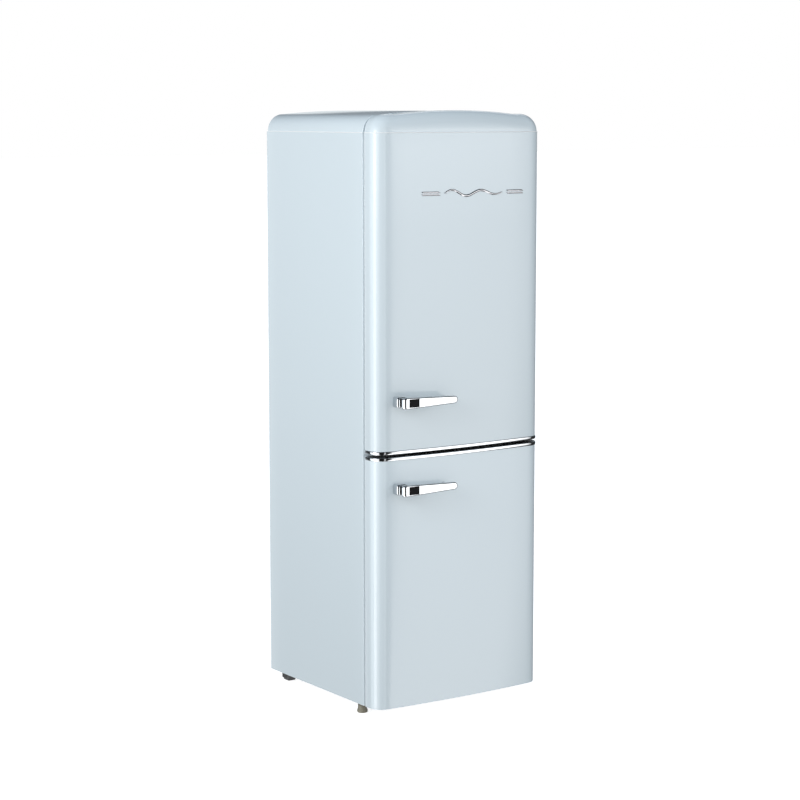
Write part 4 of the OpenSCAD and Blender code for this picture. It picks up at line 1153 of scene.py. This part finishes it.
def sky():
    """White to the camera, pale and darker overhead as light, screens in reflections."""
    world = bpy.data.worlds.new("studio")
    bpy.context.scene.world = world
    world.use_nodes = True
    nodes, links = world.node_tree.nodes, world.node_tree.links
    out = nodes["World Output"]
    place = nodes.new("ShaderNodeTexCoord")
    split = nodes.new("ShaderNodeSeparateXYZ")
    links.new(place.outputs["Generated"], split.inputs["Vector"])

    def math_node(operation, first, second=None):
        node = nodes.new("ShaderNodeMath")
        node.operation = operation
        for socket, value in zip(node.inputs, (first, second)):
            if isinstance(value, (int, float)):
                socket.default_value = value
            elif value is not None:
                links.new(value, socket)
        return node.outputs["Value"]

    def background(colour, strength):
        node = nodes.new("ShaderNodeBackground")
        links.new(colour, node.inputs["Color"])
        node.inputs["Strength"].default_value = strength
        return node.outputs["Background"]

    height = math_node("MULTIPLY_ADD", split.outputs["Z"], 0.5)
    height.node.inputs[2].default_value = 0.5
    light_ramp = nodes.new("ShaderNodeValToRGB")
    fill_ramp(light_ramp, ((0.0, (0.40, 0.40, 0.40)), (0.42, (0.68, 0.68, 0.68)),
                           (0.51, (1.0, 1.0, 1.0)), (0.63, (0.97, 0.98, 1.0)),
                           (0.82, (0.46, 0.52, 0.58)), (1.0, (0.26, 0.32, 0.40))))
    links.new(height, light_ramp.inputs["Fac"])

    left = math_node("MULTIPLY", split.outputs["X"], -1.0)
    front = math_node("MULTIPLY", split.outputs["Y"], -1.0)
    bearing = math_node("ARCTAN2", left, front)
    turn = math_node("MULTIPLY_ADD", bearing, 0.5 / math.pi)
    turn.node.inputs[2].default_value = 0.5
    brightest = max(level for _, level in SCREENS)
    screen_ramp = nodes.new("ShaderNodeValToRGB")
    fill_ramp(screen_ramp, [(0.5 + degrees / 360, (level / brightest,) * 3)
                            for degrees, level in SCREENS])
    links.new(turn, screen_ramp.inputs["Fac"])
    front_fade = nodes.new("ShaderNodeValToRGB")
    fill_ramp(front_fade, ((0.50, (0.65, 0.65, 0.65)), (0.55, (0.90, 0.90, 0.90)),
                           (0.61, (0.40, 0.41, 0.42)), (0.72, (0.06, 0.07, 0.08)),
                           (0.90, (0.03, 0.04, 0.05))))
    links.new(height, front_fade.inputs["Fac"])
    back_fade = nodes.new("ShaderNodeValToRGB")
    fill_ramp(back_fade, ((0.53, (0.90, 0.97, 1.0)), (0.57, (0.25, 0.28, 0.31)),
                          (0.72, (0.12, 0.14, 0.16)), (0.90, (0.04, 0.05, 0.06))))
    links.new(height, back_fade.inputs["Fac"])
    behind = nodes.new("ShaderNodeMapRange")
    behind.inputs["From Min"].default_value = -0.1
    behind.inputs["From Max"].default_value = 0.4
    links.new(split.outputs["Y"], behind.inputs["Value"])
    fade = nodes.new("ShaderNodeMix")
    fade.data_type = "RGBA"
    links.new(behind.outputs["Result"], fade.inputs["Factor"])
    links.new(front_fade.outputs["Color"], fade.inputs["A"])
    links.new(back_fade.outputs["Color"], fade.inputs["B"])
    toward = nodes.new("ShaderNodeVectorMath")
    toward.operation = "DOT_PRODUCT"
    links.new(place.outputs["Generated"], toward.inputs[0])
    toward.inputs[1].default_value = HIGH_PANEL
    top_ramp = nodes.new("ShaderNodeValToRGB")
    fill_ramp(top_ramp, ((0.965, (0.0, 0.0, 0.0)), (0.985, (0.17, 0.17, 0.17))))
    links.new(toward.outputs["Value"], top_ramp.inputs["Fac"])
    screens = nodes.new("ShaderNodeMix")
    screens.data_type = "RGBA"
    screens.blend_type = "MULTIPLY"
    screens.inputs["Factor"].default_value = 1.0
    links.new(screen_ramp.outputs["Color"], screens.inputs["A"])
    links.new(fade.outputs["Result"], screens.inputs["B"])
    with_top = nodes.new("ShaderNodeMix")
    with_top.data_type = "RGBA"
    with_top.blend_type = "ADD"
    with_top.clamp_result = False
    with_top.inputs["Factor"].default_value = 1.0
    links.new(screens.outputs["Result"], with_top.inputs["A"])
    links.new(top_ramp.outputs["Color"], with_top.inputs["B"])

    lamp = background(light_ramp.outputs["Color"], WORLD_LIGHT)
    mirror = background(with_top.outputs["Result"], brightest)
    backdrop = nodes.new("ShaderNodeBackground")
    path = nodes.new("ShaderNodeLightPath")
    by_gloss = nodes.new("ShaderNodeMixShader")
    links.new(path.outputs["Is Glossy Ray"], by_gloss.inputs["Fac"])
    links.new(lamp, by_gloss.inputs[1])
    links.new(mirror, by_gloss.inputs[2])
    by_view = nodes.new("ShaderNodeMixShader")
    links.new(path.outputs["Is Camera Ray"], by_view.inputs["Fac"])
    backdrop.inputs["Color"].default_value = (1, 1, 1, 1)
    backdrop.inputs["Strength"].default_value = 1.0
    links.new(by_gloss.outputs["Shader"], by_view.inputs[1])
    links.new(backdrop.outputs["Background"], by_view.inputs[2])
    links.new(by_view.outputs["Shader"], out.inputs["Surface"])


WORLD_LIGHT = 1.06
HIGH_PANEL = (0.576, 0.596, 0.559)

floor_material = make_material("studio_floor", (0.92, 0.92, 0.92), drift=0.002, scale=1.0,
                               rough=0.9, rough_drift=0.03, specular=0.0)
floor_shader = floor_material.node_tree.nodes["Principled BSDF"]
floor_shader.inputs["Emission Color"].default_value = (1.0, 1.0, 1.0, 1)
floor_shader.inputs["Emission Strength"].default_value = 0.72
stage_plane("studio_floor", 60.0, 0.0, floor_material)
sky()
area_light("key_left", (-3.4, -0.9, 2.4), (-0.27, 0.0, 1.2), 2.2, 1.8, 68)
area_light("key_front", (2.3, -3.6, 1.5), (0.1, -0.25, 0.8), 2.6, 1.8, 12)

CAMERA_YAW, CAMERA_PITCH = math.radians(34.66), math.radians(7.26)
camera_data = bpy.data.cameras.new("camera")
camera_data.lens = 97.5
camera_data.sensor_width = 36.0
camera_data.shift_y = -0.02
camera_data.clip_end = 100.0
camera = bpy.data.objects.new("camera", camera_data)
camera.location = (-3.444, -4.951, 1.640)
camera.rotation_euler = (HALF_PI - CAMERA_PITCH, 0.0, -CAMERA_YAW)
bpy.context.scene.collection.objects.link(camera)
bpy.context.scene.camera = camera
bpy.context.scene.view_settings.view_transform = "Standard"
